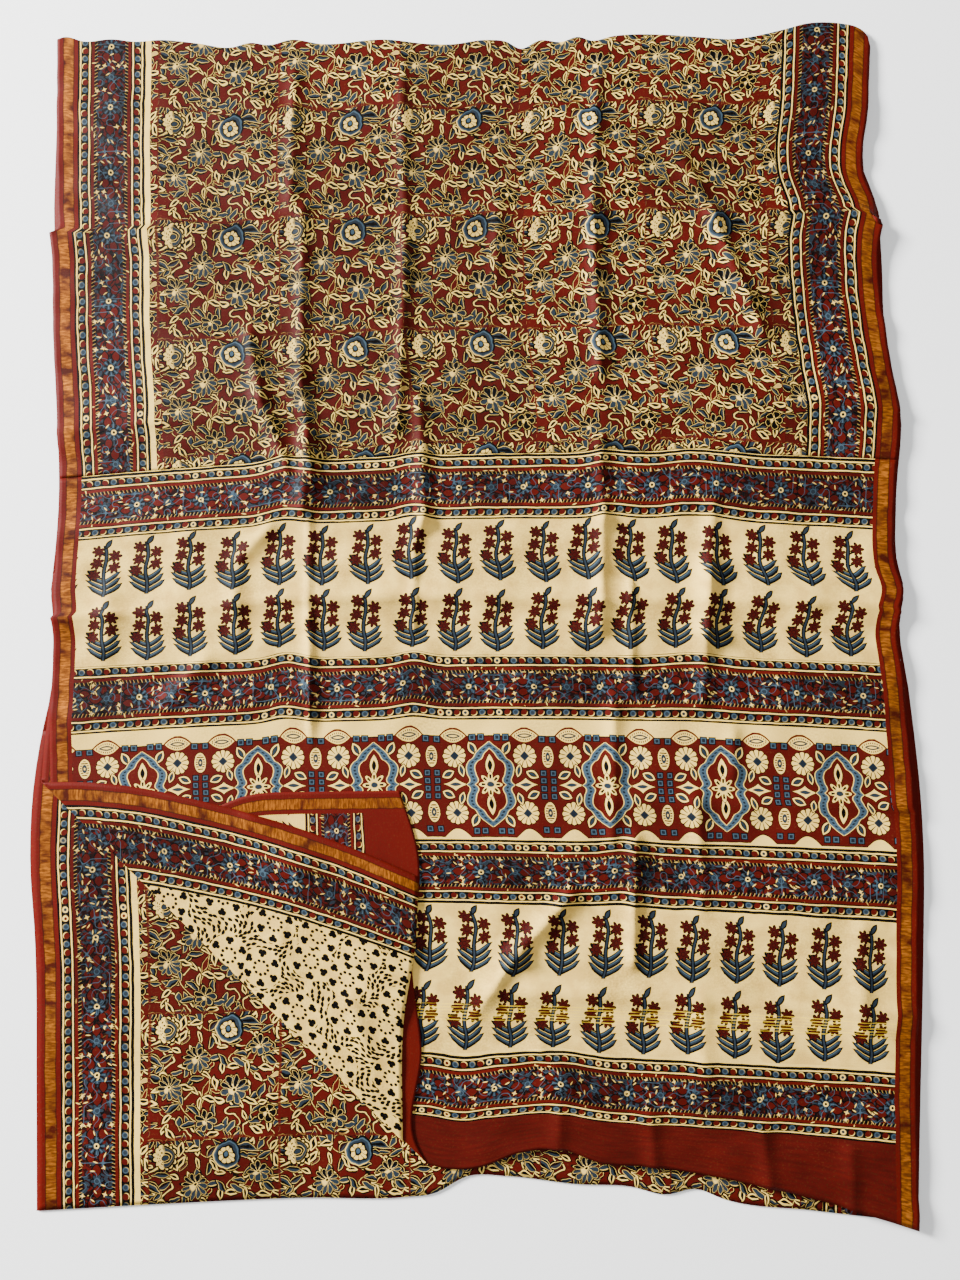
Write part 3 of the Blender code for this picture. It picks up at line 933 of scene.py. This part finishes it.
def printed_band(cloth, q, b):
    """A band 95 mm wide: a strip of flowers between two lines of dots."""
    inside = BAND_MIDDLE - abs(q - BAND_MIDDLE)
    here = inside.over(-1.3)
    ground = cloth.colour
    floral_strip(cloth, q - BAND_MIDDLE, b)
    dot_line(cloth, inside, b)
    cloth.lay(here.off(), ground)


def border(cloth):
    """Side border: a band along either selvedge."""
    printed_band(cloth, cloth.from_edge - SELVEDGE * MM, cloth.s)


def bands(cloth):
    """The four bands across the printed end, each with its repeat begun elsewhere."""
    start = Term(cloth.tree, BAND_STARTS[0])
    for below, above in zip(BAND_STARTS, BAND_STARTS[1:]):
        start = start + cloth.s.over(above - 60.0) * (above - below)
    printed_band(cloth, cloth.s - start, cloth.u + start * 0.37)


def selvedge(cloth):
    """Woven selvedge: red with a tarnished gold stripe, with painted highlights and painted shade on the
    stripe's fine pleats.
    """
    inks = cloth.inks
    edge = cloth.from_edge
    worn = cloth.noise(cloth.flat_u * 0.5, cloth.flat_s, 16.0, detail=5.0)
    # Fine pleats across the gold stripe, used only to paint light and shade on them
    pleat_light = cloth.noise(cloth.flat_u * 0.22, cloth.flat_s, 2.6, detail=4.0)
    stripe = edge.over(9.6) * edge.under(24.0)
    gold = stripe * worn.over(0.43, 0.16)
    cloth.lay(worn.over(0.5, 0.3) * 0.3, inks.end_red)
    cloth.lay(stripe * 0.85, inks.rust)
    cloth.lay(gold, inks.gold)
    # Painted highlight: pale gold on the pleats' crests
    cloth.lay(gold * pleat_light.over(0.56, 0.2) * worn.over(0.50, 0.2) * 0.45, inks.pale_gold)
    # Painted shade: rust in the pleats' hollows
    cloth.lay(stripe * pleat_light.under(0.44, 0.16) * 0.5, inks.rust)
    cloth.lay(edge.near(9.6, 0.8).either(edge.near(24.0, 0.8)) * 0.6, inks.maroon)
    cloth.metal = gold * 0.55


def end_panel(cloth):
    """The plain red end."""
    streak = cloth.noise(cloth.flat_u * 0.2, cloth.flat_s, 6.0, detail=4.0)
    cloth.lay(streak.over(0.5, 0.3) * 0.35, cloth.inks.maroon)
    cloth.lay(cloth.wrong_side * 0.85, cloth.inks.selvedge_red)


def petal_flower(cloth, x, y, radius, count, fill):
    """A flower of narrow pale and dark petals, darker on its upper side and paler low on its left."""
    inks = cloth.inks
    r, turn = gap(x, y), direction(x, y)
    petal = turn.wave(count)
    inside = petal * (0.34 * radius) + 0.70 * radius - r
    cloth.inlay(inside, (-1.9, inks.black), (0.0, inks.cream))
    dark = inside.over(0.55) * petal.over(0.34, 0.2) * r.over(0.16 * radius)
    cloth.lay(dark, fill)
    cloth.lay(dark * (y - x * 0.4).over(0.12 * radius, 2.0) * petal.over(0.66, 0.2), inks.black)
    cloth.lay(petal.under(0.22, 0.1) * r.over(0.42 * radius) * inside.over(-1.0), inks.black)
    cloth.lay(gap(x + 0.20 * radius, y + 0.16 * radius).under(0.20 * radius, 1.5), inks.cream)
    cloth.lay(r.under(0.10 * radius), inks.black)


def scattered_leaves(cloth, x, y, size, scatter, half_length, half_width):
    """Outlined leaves that lie every way: blue with a dark half, pale with a dark vein, or left red."""
    inks = cloth.inks
    x, y, (one, two, _three) = cloth.cells(x, y, size, scatter)
    angle = one * (2 * math.pi)
    c, s = angle.node("COSINE"), angle.node("SINE")
    length, breadth = x * c + y * s, y * c - x * s
    inside = leaf(length, breadth, half_length, half_width)
    cloth.inlay(inside, (-1.6, inks.black), (0.0, inks.cream))
    fill = inside.over(0.5)
    cloth.lay(fill * two.under(0.50, 0.02), inks.slate)
    cloth.lay(fill * two.near(0.32, 0.22, 0.02) * breadth.over(half_width * 0.1), inks.black)
    cloth.lay(fill * two.near(0.54, 0.05, 0.02), inks.madder)
    cloth.lay(inside.over(half_width * 0.52) * two.over(0.60, 0.02), inks.black)


JAAL_FLOWERS = (
    # x,   y,   radius, petals, fill
    (62, 101, 17, 11, "slate"),
    (146, 117, 14, 8, "slate"),
    (27, 66, 16, 12, "slate"),
    (112, 62, 19, 9, "slate"),
    (155, 30, 12, 5, "black"),
    (74, 22, 14, 7, "indigo"),
)


def jaal(cloth):
    """The body's block: flowers, leaves and stems on madder, each block set a little off."""
    inks = cloth.inks
    across, along = cloth.u - 144.0, cloth.s - 1027.0
    column, row = (across * (1 / BLOCK_WIDTH)).node("FLOOR"), (along * (1 / BLOCK_HEIGHT)).node("FLOOR")
    one, two, three = cloth.chance(column, row)
    x = across.wrap(0.0, BLOCK_WIDTH) + (one - 0.5) * 4.0
    y = along.wrap(0.0, BLOCK_HEIGHT) + (two - 0.5) * 4.0
    joint = x.under(2.6, 1.5).either(y.under(2.6, 1.5))
    bend_x, bend_y, _bend_z = cloth.parts(cloth.noise(x, y, 15.0, detail=1.0, colour=True))
    x, y = x + (bend_x - 0.5) * 9.0, y + (bend_y - 0.5) * 9.0
    stem = cloth.noise(x, y, 27.0, detail=0.0)
    cloth.lay(stem.near(0.47, 0.030, 0.012), inks.black)
    cloth.lay(stem.near(0.47, 0.010, 0.010), inks.cream)
    scattered_leaves(cloth, x + 40.0, y, 17.0, 0.9, 8.6, 3.1)
    scattered_leaves(cloth, x, y + 90.0, 20.5, 0.9, 10.6, 3.8)
    for middle_x, middle_y, radius, count, fill in JAAL_FLOWERS:
        petal_flower(cloth, x - middle_x, y - middle_y, radius, count, getattr(inks, fill))

    bow = x - 130.0
    feather = leaf(bow, y - 150.0 + bow * bow * 0.022, 16.5, 5.0)
    cloth.inlay(feather, (-1.8, inks.black), (0.0, inks.cream), (0.6, inks.slate), (3.0, inks.black))
    ring_x, ring_y = x - 105.0, y - 140.0
    r, turn = gap(ring_x, ring_y), direction(ring_x, ring_y)
    cloth.lay(r.under(18.6), inks.black)
    cloth.lay(r.near(17.0, 0.7) * (ring_x + ring_y).under(0.0, 8.0), inks.cream)
    cloth.discs(r, (16.2, inks.pale_blue), (14.6, inks.slate), (11.8, inks.black))
    cloth.lay(r.under(turn.wave(9) * 1.6 + 8.6), inks.cream)
    cloth.lay(r.near(7.4, 3.4) * turn.wave(9).under(0.26, 0.1), inks.black)
    cloth.discs(r, (4.4, inks.black), (2.7, inks.pale_blue))

    dome_x, dome_y = x - 24.0, y - 140.0
    r, turn = gap(dome_x, dome_y), direction(dome_x, dome_y)
    edge = turn.wave(13) * 2.4 + 13.6
    cloth.discs(r, (edge + 1.9, inks.black), (edge - 0.4, inks.cream))
    for place, reach, colour in ((10.0, 1.9, inks.slate), (12.9, 1.0, inks.black), (6.2, 1.3, inks.black)):
        cloth.lay(r.near(place, reach) * dome_x.over(-2.0, 3.0), colour)
    specks = (turn * 12.0).node("SINE").over(0.0) * (r * 2.0).node("SINE").over(0.1)
    cloth.lay(specks * r.under(13.0) * dome_x.under(-2.0, 2.0), inks.black)
    cloth.discs(r, (4.4, inks.black), (3.4, inks.slate))
    cloth.lay(joint * 0.85, inks.madder)
    cloth.lay(three.over(0.66, 0.05) * 0.25, inks.black)


def plants(cloth):
    """Fields of upright flowering plants on cream: a stem, three leaves and two or three flowers a side."""
    inks = cloth.inks
    cloth.stain()
    upper = cloth.s.over(600.0, 1.0)
    row = (cloth.s - upper * 538.0 - BAND_D * MM) * (1 / PLANT_ROW_PITCH) * (upper * (5.0 / 90.0) + 1.0)
    column = (cloth.u - 36.0) * (1 / PLANT_PITCH)
    one, two, _third = cloth.chance(column.node("FLOOR"), row.node("FLOOR") + upper * 5.0)
    x = (column.wrap(0.0, 1.0) - 0.5) * PLANT_PITCH + (one - 0.5) * 5.0
    y = row.wrap(0.0, 1.0) * 93.0 + (two - 0.5) * 5.0 - 5.0 + upper.off() * 3.5
    lean = x - (y * 0.13).node("SINE") * 1.6
    side = abs(lean)

    sweep = y - side * 0.36 - side * side * 0.011
    blade = (sweep - 1.0).wrap(0.0, 8.6) - 4.3
    leaves = sweep.over(1.0) * sweep.under(26.8) * (side + abs(blade) * 1.6).under(25.0)
    cloth.lay(leaves * blade.near(0.0, 3.9), inks.black)
    cloth.lay(leaves * blade.near(0.9, 1.9) * side.under(21.5), inks.slate)
    cloth.lay(leaves * blade.near(1.8, 0.6) * side.under(19.0), inks.pale_blue)

    left = lean.under(0.0, 0.1)
    up = y - 35.5 - left.off() * 8.5
    number = (up * (1 / 17.0)).node("ROUND").either(0.0).both(left + 1.0)
    flower_x, flower_y = side - 13.0 + number * 1.2, up - number * 17.0
    stalk = (flower_y + (14.0 - side) * 0.5).near(-1.0, 1.3)
    cloth.lay(stalk * side.under(12.0) * up.over(-12.0), inks.black)
    stem = y.over(1.0) * y.under(78.0)
    cloth.lay(stem * side.under(3.0), inks.black)
    cloth.lay(stem * side.under(1.3), inks.slate)
    bud = leaf(*turned(lean - 4.5, y - 79.5, 52.0), 9.0, 3.9)
    cloth.inlay(bud, (0.0, inks.black), (1.9, inks.slate))
    curl = gap(x + 19.0, y - 42.0).near(3.2, 1.5)
    cloth.lay(curl * (y - 42.0).under(1.5), inks.black)
    r = gap(flower_x, flower_y)
    point = direction(flower_x, flower_y).wave(7) * 4.0 + 5.6
    cloth.discs(r, (point, inks.black), (point - 1.8, inks.deep_red))
    cloth.lay(r.near(2.6, 0.4), inks.maroon)

    weft = cloth.flat_s.near(246.0, 10.5) * cloth.flat_s.wrap(0.0, 3.8).under(1.3)
    broken = cloth.noise(cloth.flat_u * 0.08, cloth.flat_s, 4.0, detail=2.0)
    cloth.lay(weft * broken.over(0.48, 0.1) * 0.45, inks.yellow)


MEDALLION_OUTLINE = (
    # up,  half width
    (0, 32),
    (5, 27.5),
    (14, 30.5),
    (23, 31.5),
    (30, 27),
    (33, 22.5),
    (41, 17.5),
    (56, 0),
)


def half_width_curve(cloth, up):
    """Half width of the medallion at a height: a curve through a short table."""
    node = cloth.tree.nodes.new("ShaderNodeFloatCurve")
    curve = node.mapping.curves[0]
    top = MEDALLION_OUTLINE[-1][0]
    ends = MEDALLION_OUTLINE[0], MEDALLION_OUTLINE[-1]
    for point, (height, width) in zip((curve.points[0], curve.points[1]), ends):
        point.location = (height / 60.0, width / 60.0)
        point.handle_type = "VECTOR"
    for height, width in MEDALLION_OUTLINE[1:-1]:
        curve.points.new(height / 60.0, width / 60.0).handle_type = "AUTO"
    node.mapping.update()
    cloth.tree.links.new((up.both(float(top)) * (1 / 60.0)).value, node.inputs["Value"])
    return Term(cloth.tree, node.outputs["Value"]) * 60.0


def drop(cloth, x, y, degrees, half_length, half_width):
    """A pale leaf with a dark heart."""
    inside = leaf(*turned(x, y, degrees), half_length, half_width)
    inks = cloth.inks
    cloth.inlay(inside, (-1.6, inks.maroon), (0.0, inks.cream))
    cloth.inlay(inside, (half_width * 0.42, inks.black), (half_width * 0.62, inks.slate))


def tile(cloth, x, y, half):
    """A small blue square with a dark rim."""
    inks = cloth.inks
    reach = abs(x).either(abs(y))
    cloth.discs(reach, (half + 1.3, inks.black), (half, inks.pale_blue), (half * 0.6, inks.indigo))


def medallions(cloth):
    """A band of medallions on madder with rosettes, seeds, tiles and leaves between them."""
    inks = cloth.inks
    half = MEDALLION_PITCH / 2
    x = (cloth.u - 124.0).wrap(-half, half)
    y = cloth.s - 554.5
    side, up = abs(x), abs(y)

    hump = (side - 48.0) * (1 / 15.0)
    field = y - 64.0 - (hump * hump).node("MULTIPLY_ADD", -12.0, 12.0).either(0.0)
    cloth.inlay(field, (-1.8, inks.maroon), (0.0, inks.cream))
    hump = ((side - 48.0) * 0.09).node("COSINE").either(0.0) * side.near(48.0, 17.4, 0.1)
    lower_field = hump * 12.0 - y - 70.5
    cloth.inlay(lower_field, (-1.4, inks.maroon), (0.0, inks.cream))
    almond = leaf(side - 48.0, y - 63.5, 17.0, 8.8)
    cloth.inlay(almond, (-2.8, inks.madder), (0.0, inks.cream))
    cloth.lay(almond.near(2.8, 1.0) * (side * 2.2).node("SINE").over(0.0), inks.maroon)
    cloth.lay(almond.near(6.4, 1.0), inks.slate)

    rose_x, rose_y = side - 47.0, up - 37.0
    r, turn = gap(rose_x, rose_y), direction(rose_x, rose_y)
    petal = turn.wave(12)
    cloth.discs(r, (petal * 1.6 + 14.8, inks.maroon), (petal * 1.6 + 13.6, inks.cream))
    cloth.lay(petal.under(0.34, 0.12) * r.near(10.8, 4.6), inks.maroon)
    cloth.discs(abs(rose_x) + abs(rose_y), (6.4, inks.slate), (4.4, inks.indigo))

    seed_x, seed_y = side - half, up - 36.0
    seed = gap(seed_x * (1 / 7.6), seed_y * (1 / 13.6))
    cloth.discs(seed, (1.1, inks.maroon), (1.0, inks.cream), soft=0.05)
    cloth.lay(seed.near(0.66, 0.16, 0.04) * (seed_y * 1.9).node("SINE").over(0.0), inks.maroon)
    cloth.lay(seed.near(0.28, 0.15, 0.05), inks.slate)

    star = (side - 47.0) * (1 / 17.0), y * (1 / 8.5)
    points = abs(star[0]).node("POWER", 0.75) + abs(star[1]).node("POWER", 0.75)
    cloth.discs(points, (1.12, inks.maroon), (1.0, inks.cream), soft=0.04)
    cloth.lay(leaf(side - 47.0, y, 8.0, 2.4).over(0.0), inks.slate)
    drop(cloth, side - 56.5, up - 13.0, -24.0, 9.0, 5.2)
    drop(cloth, side - 23.0, up - 46.5, 62.0, 10.0, 5.4)
    drop(cloth, side - 38.5, up - 18.0, 75.0, 8.5, 4.0)

    low = up.under(20.5, 0.1)
    tile(cloth, side - 71.2 + low.off() * 99.0, up.wrap(0.0, 10.0) - 5.0, 3.1)
    for place, height, size in ((11.0, 61.5, 3.6), (22.5, 61.5, 3.6), (70.5, 59.0, 3.4)):
        tile(cloth, side - place, up - height, size)

    inside = half_width_curve(cloth, up) - side - up.over(56.0) * 9.0
    cloth.inlay(inside, (-2.2, inks.maroon), (-0.9, inks.cream), (0.3, inks.pale_blue))
    cloth.lay(inside.near(5.6, 1.5) * (y * 1.4).node("SINE").over(-0.2), inks.indigo)
    cloth.inlay(inside, (10.6, inks.cream), (11.8, inks.madder))
    finial = leaf(up - 25.0, x, 14.5, 5.4)
    cloth.inlay(finial, (-1.2, inks.maroon), (0.0, inks.cream))
    cloth.lay(leaf(up - 25.0, x, 7.5, 2.9).over(0.0), inks.black)
    r, turn = gap(x * 1.05, y), direction(x, y)
    edge = turn.wave(8).node("POWER", 1.6) * 8.0 + 8.6
    cloth.discs(r, (edge + 1.1, inks.maroon), (edge, inks.cream))
    cloth.lay(r.near(10.0, 2.8) * turn.wave(8).over(0.86, 0.1), inks.black)
    cloth.lay(gap(x * 0.7, y).under(3.4), inks.slate)
    cloth.lay(y.over(75.0), inks.cream)


def blouse(cloth):
    """The blouse piece's field: black dotted rings, hearts round them and streams of small leaves."""
    inks = cloth.inks
    cloth.stain()
    x, y, _chances = cloth.cells(cloth.u, cloth.s, 60.0, 0.5)
    r, turn = gap(x, y), direction(x, y)
    flow = cloth.noise(cloth.u, cloth.s, 80.0, detail=1.0) * (4.0 * math.pi)
    c, s = flow.node("COSINE"), flow.node("SINE")
    dash_x, dash_y, (one, _two, _three) = cloth.cells(cloth.u, cloth.s, 7.0, 0.6)
    dash = leaf(dash_x * c + dash_y * s, dash_y * c - dash_x * s, 4.2, 2.1)
    cloth.lay(dash.over(-0.1) * r.over(27.5) * one.over(0.08, 0.02), inks.black)
    bead = turn.wrap(-math.pi / 9, math.pi / 9)
    cloth.lay(gap(r - 9.4, bead * 9.4).under(2.2), inks.black)
    sector = turn.wrap(-math.pi / 6, math.pi / 6)
    out, off = r - 20.0, abs(sector * r)
    lobes = gap(out - 2.0, off - 2.3).both(gap(out + 2.4, off) + 0.7)
    cloth.lay(lobes.under(3.5), inks.black)


GROUNDS = {
    border: "cream",
    bands: "cream",
    selvedge: "selvedge_red",
    end_panel: "end_red",
    jaal: "madder",
    plants: "cream",
    medallions: "madder",
    blouse: "cream",
}


def material_of(draw):
    """The material that a print's function draws, made once."""
    found = bpy.data.materials.get(draw.__name__)
    if found is None:
        cloth = Print(draw.__name__, getattr(bpy.context.scene.saree_inks, GROUNDS[draw]))
        draw(cloth)
        found = cloth.finish()
    return found


def strips(low, high, middle):
    """Zones of one stretch of the cloth: its middle print between the two selvedges."""
    return [
        (selvedge, 0.0, SELVEDGE, low, high),
        (middle, SELVEDGE, WIDTH - SELVEDGE, low, high),
        (selvedge, WIDTH - SELVEDGE, WIDTH, low, high),
    ]


def body_strips(low, high):
    """Zones of a stretch of the body: the jaal between its two side borders."""
    return strips(low, high, jaal) + [
        (border, SELVEDGE, BORDER, low, high),
        (border, WIDTH - CLOSE_BORDER, WIDTH - SELVEDGE, low, high),
    ]


def columns_of(step, left=BORDER):
    """Columns across the cloth, through the edges of its printed strips."""
    return places((0.0, SELVEDGE, left, WIDTH - CLOSE_BORDER, WIDTH - SELVEDGE, WIDTH), step)


class SareeCloth(bpy.types.PropertyGroup):
    """Sizes of the cloth."""

    thickness: bpy.props.FloatProperty(
        name="Thickness", description="Thickness of the cloth", default=0.0005, unit="LENGTH"
    )
    fine_step: bpy.props.FloatProperty(
        name="Fine step", description="Grid step where the cloth shows", default=0.0052, unit="LENGTH"
    )
    coarse_step: bpy.props.FloatProperty(
        name="Coarse step", description="Grid step where the cloth is hidden", default=0.030, unit="LENGTH"
    )


def ink(name, red, green, blue):
    """A colour setting, from its red, green and blue in a picture."""
    def linear(value):
        """The linear share of a picture's value."""
        share = value / 255.0
        return share / 12.92 if share < 0.04045 else ((share + 0.055) / 1.055) ** 2.4

    return bpy.props.FloatVectorProperty(
        name=name, description=f"Colour of the {name.lower()}", subtype="COLOR", size=3,
        default=tuple(linear(value) for value in (red, green, blue)),
    )


class SareeInks(bpy.types.PropertyGroup):
    """Colours of the cloth and its prints."""

    cream: ink("Cream", 225, 187, 93)
    madder: ink("Madder", 68, 9, 4)
    deep_red: ink("Deep red", 54, 6, 3)
    maroon: ink("Maroon", 24, 3, 2)
    indigo: ink("Indigo", 19, 26, 34)
    pale_blue: ink("Pale blue", 54, 72, 84)
    slate: ink("Slate", 31, 40, 48)
    black: ink("Black", 1, 0, 0)
    selvedge_red: ink("Selvedge red", 76, 10, 4)
    end_red: ink("End red", 70, 11, 5)
    # Rust: the gold stripe's ground where the gold is worn, and painted shade in the stripe's pleats
    rust: ink("Rust", 50, 12, 2)
    gold: ink("Gold", 116, 64, 17)
    # Painted highlight on the crests of the selvedge's gold pleats
    pale_gold: ink("Pale gold", 200, 116, 26)
    yellow: ink("Yellow", 255, 214, 46)
    hand_shake: bpy.props.FloatProperty(
        name="Hand shake", description="How far the prints wander, in millimetres", default=3.0
    )


class SareeStudio(bpy.types.PropertyGroup):
    """Camera and floor."""

    camera_height: bpy.props.FloatProperty(
        name="Camera height",
        description="Height of the camera above the floor",
        default=1.302,
        unit="LENGTH",
    )
    camera_tilt: bpy.props.FloatProperty(
        name="Camera tilt",
        description="How far the camera leans from straight down towards the cloth's top",
        default=math.radians(4.19),
        subtype="ANGLE",
    )
    floor_colour: bpy.props.FloatVectorProperty(
        name="Floor",
        description="Colour of the plain floor",
        default=(0.93, 0.93, 0.92),
        subtype="COLOR",
        size=3,
    )


class SAREE_OT_end_panel_cloth(bpy.types.Operator):
    """Lay the printed end of the saree, with its turned corner"""

    bl_idname = "saree.end_panel_cloth"
    bl_label = "Printed end"

    def execute(self, context):
        cloth = context.scene.saree_cloth
        marks = (0.0, END_PANEL, BAND_D, PLANTS_LOWER, BAND_C, MEDALLIONS, BAND_B, PLANTS_UPPER, BODY_START)
        zones = strips(0.0, END_PANEL, end_panel)
        zones += strips(END_PANEL, BAND_D, bands)
        zones += strips(BAND_D, PLANTS_LOWER, plants)
        zones += strips(PLANTS_LOWER, BAND_C, bands)
        zones += strips(BAND_C, MEDALLIONS, medallions)
        zones += strips(MEDALLIONS, BAND_B, bands)
        zones += strips(BAND_B, PLANTS_UPPER, plants)
        zones += strips(PLANTS_UPPER, BODY_START, bands)
        rows = places(marks, cloth.fine_step * 1.25)
        make_sheet("printed_end", columns_of(cloth.fine_step * 0.8), rows, zones, INNER_RADIUS)
        return {"FINISHED"}


class SAREE_OT_body_cloth(bpy.types.Operator):
    """Lay the body of the saree, in three layers"""

    bl_idname = "saree.body_cloth"
    bl_label = "Body"

    def execute(self, context):
        cloth = context.scene.saree_cloth
        fine, coarse = cloth.fine_step, cloth.coarse_step
        outer, inner = OUTER_RADIUS * math.pi / 2, INNER_RADIUS * math.pi / 2
        top_end = TOP_OUTER + outer
        rows = run_to_fold(BODY_START, fine, TOP_OUTER, OUTER_RADIUS)
        make_sheet("upper_body", columns_of(fine * 0.8), rows, body_strips(BODY_START, top_end))

        rows = run_to_fold(top_end, coarse, BOTTOM, INNER_RADIUS)
        make_sheet("floor_body", columns_of(coarse / 3), rows, body_strips(top_end, BOTTOM + inner))

        open_end = BOTTOM + inner + OPEN_LENGTH
        rows = places((BOTTOM + inner, open_end), fine * 1.15)
        make_sheet("open_body", columns_of(fine * 1.15), rows, body_strips(BOTTOM + inner, open_end))

        rows = np.concatenate((
            run_to_fold(open_end, coarse, TOP_INNER, INNER_RADIUS)[:-1],
            places((TOP_INNER + inner, BLOUSE_START), coarse),
        ))
        make_sheet("inner_body", columns_of(coarse / 3), rows, body_strips(open_end, BLOUSE_START))
        return {"FINISHED"}


class SAREE_OT_blouse_cloth(bpy.types.Operator):
    """Lay the blouse piece at the saree's other end, with its turned corner"""

    bl_idname = "saree.blouse_cloth"
    bl_label = "Blouse piece"

    def execute(self, context):
        cloth = context.scene.saree_cloth
        rows = places((BLOUSE_START, LENGTH), cloth.fine_step * 1.15)
        zones = strips(BLOUSE_START, LENGTH, blouse) + [
            (border, SELVEDGE, CLOSE_BORDER, BLOUSE_START, LENGTH),
            (border, WIDTH - CLOSE_BORDER, WIDTH - SELVEDGE, BLOUSE_START, LENGTH),
        ]
        columns = columns_of(cloth.fine_step * 1.15, left=CLOSE_BORDER)
        make_sheet("blouse_piece", columns, rows, zones, OUTER_RADIUS)
        return {"FINISHED"}


class SAREE_OT_stage(bpy.types.Operator):
    """Set the floor, the light and the camera"""

    bl_idname = "saree.stage"
    bl_label = "Stage"

    def execute(self, context):
        studio = context.scene.saree_studio
        bpy.ops.mesh.primitive_plane_add(size=12.0, location=(0.0, 0.0, -0.0002))
        floor = context.object
        floor.name = "floor"
        paint = bpy.data.materials.new("floor")
        paint.use_nodes = True
        shader = paint.node_tree.nodes["Principled BSDF"]
        shader.inputs["Base Color"].default_value = (*studio.floor_colour, 1.0)
        shader.inputs["Roughness"].default_value = 0.9
        floor.data.materials.append(paint)

        def softbox(name, location, size, power):
            """A square light that looks at the cloth."""
            light = bpy.data.lights.new(name, "AREA")
            light.shape = "RECTANGLE"
            light.size, light.size_y = size
            light.energy = power
            lamp = bpy.data.objects.new(name, light)
            lamp.location = location
            lamp.rotation_euler = (-lamp.location.normalized()).to_track_quat("-Z", "Y").to_euler()
            context.scene.collection.objects.link(lamp)

        softbox("window_light", (-5.2, 2.4, 2.25), (1.5, 1.5), 2480.0)
        softbox("ceiling_light", (0.4, 0.2, 3.2), (3.0, 3.0), 60.0)

        world = bpy.data.worlds.new("soft_room")
        world.use_nodes = True
        sky = world.node_tree.nodes["Background"]
        sky.inputs["Color"].default_value = (0.95, 0.97, 1.0, 1.0)
        sky.inputs["Strength"].default_value = 0.50
        context.scene.world = world

        lens = bpy.data.cameras.new("photo_camera")
        lens.lens = 27.0
        lens.sensor_width = 36.0
        camera = bpy.data.objects.new("photo_camera", lens)
        camera.location = (0.0045, -0.148, studio.camera_height)
        camera.rotation_euler = (studio.camera_tilt, 0.0, 0.0)
        context.scene.collection.objects.link(camera)
        context.scene.camera = camera
        return {"FINISHED"}


class SAREE_PT_panel(bpy.types.Panel):
    """Lists the saree's pieces"""

    bl_idname = "SAREE_PT_panel"
    bl_label = "Block printed saree"
    bl_space_type = "VIEW_3D"
    bl_region_type = "UI"
    bl_category = "Saree"

    def draw(self, context):
        for step in STEPS:
            self.layout.operator(step.bl_idname)
        self.layout.prop(context.scene.saree_cloth, "thickness")
        self.layout.prop(context.scene.saree_studio, "camera_height")


STEPS = (SAREE_OT_end_panel_cloth, SAREE_OT_body_cloth, SAREE_OT_blouse_cloth, SAREE_OT_stage)
GROUPS = (SareeCloth, SareeInks, SareeStudio)


def register():
    """Register the classes and hang the settings on the scene."""
    for part in GROUPS + STEPS + (SAREE_PT_panel,):
        bpy.utils.register_class(part)
    bpy.types.Scene.saree_cloth = bpy.props.PointerProperty(type=SareeCloth)
    bpy.types.Scene.saree_inks = bpy.props.PointerProperty(type=SareeInks)
    bpy.types.Scene.saree_studio = bpy.props.PointerProperty(type=SareeStudio)


def unregister():
    """Take the settings off the scene and unregister the classes."""
    del bpy.types.Scene.saree_studio
    del bpy.types.Scene.saree_inks
    del bpy.types.Scene.saree_cloth
    for part in reversed(GROUPS + STEPS + (SAREE_PT_panel,)):
        bpy.utils.unregister_class(part)


def main():
    """Register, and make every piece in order."""
    register()
    bpy.ops.saree.end_panel_cloth()
    bpy.ops.saree.body_cloth()
    bpy.ops.saree.blouse_cloth()
    bpy.ops.saree.stage()


if __name__ == "__main__":
    main()
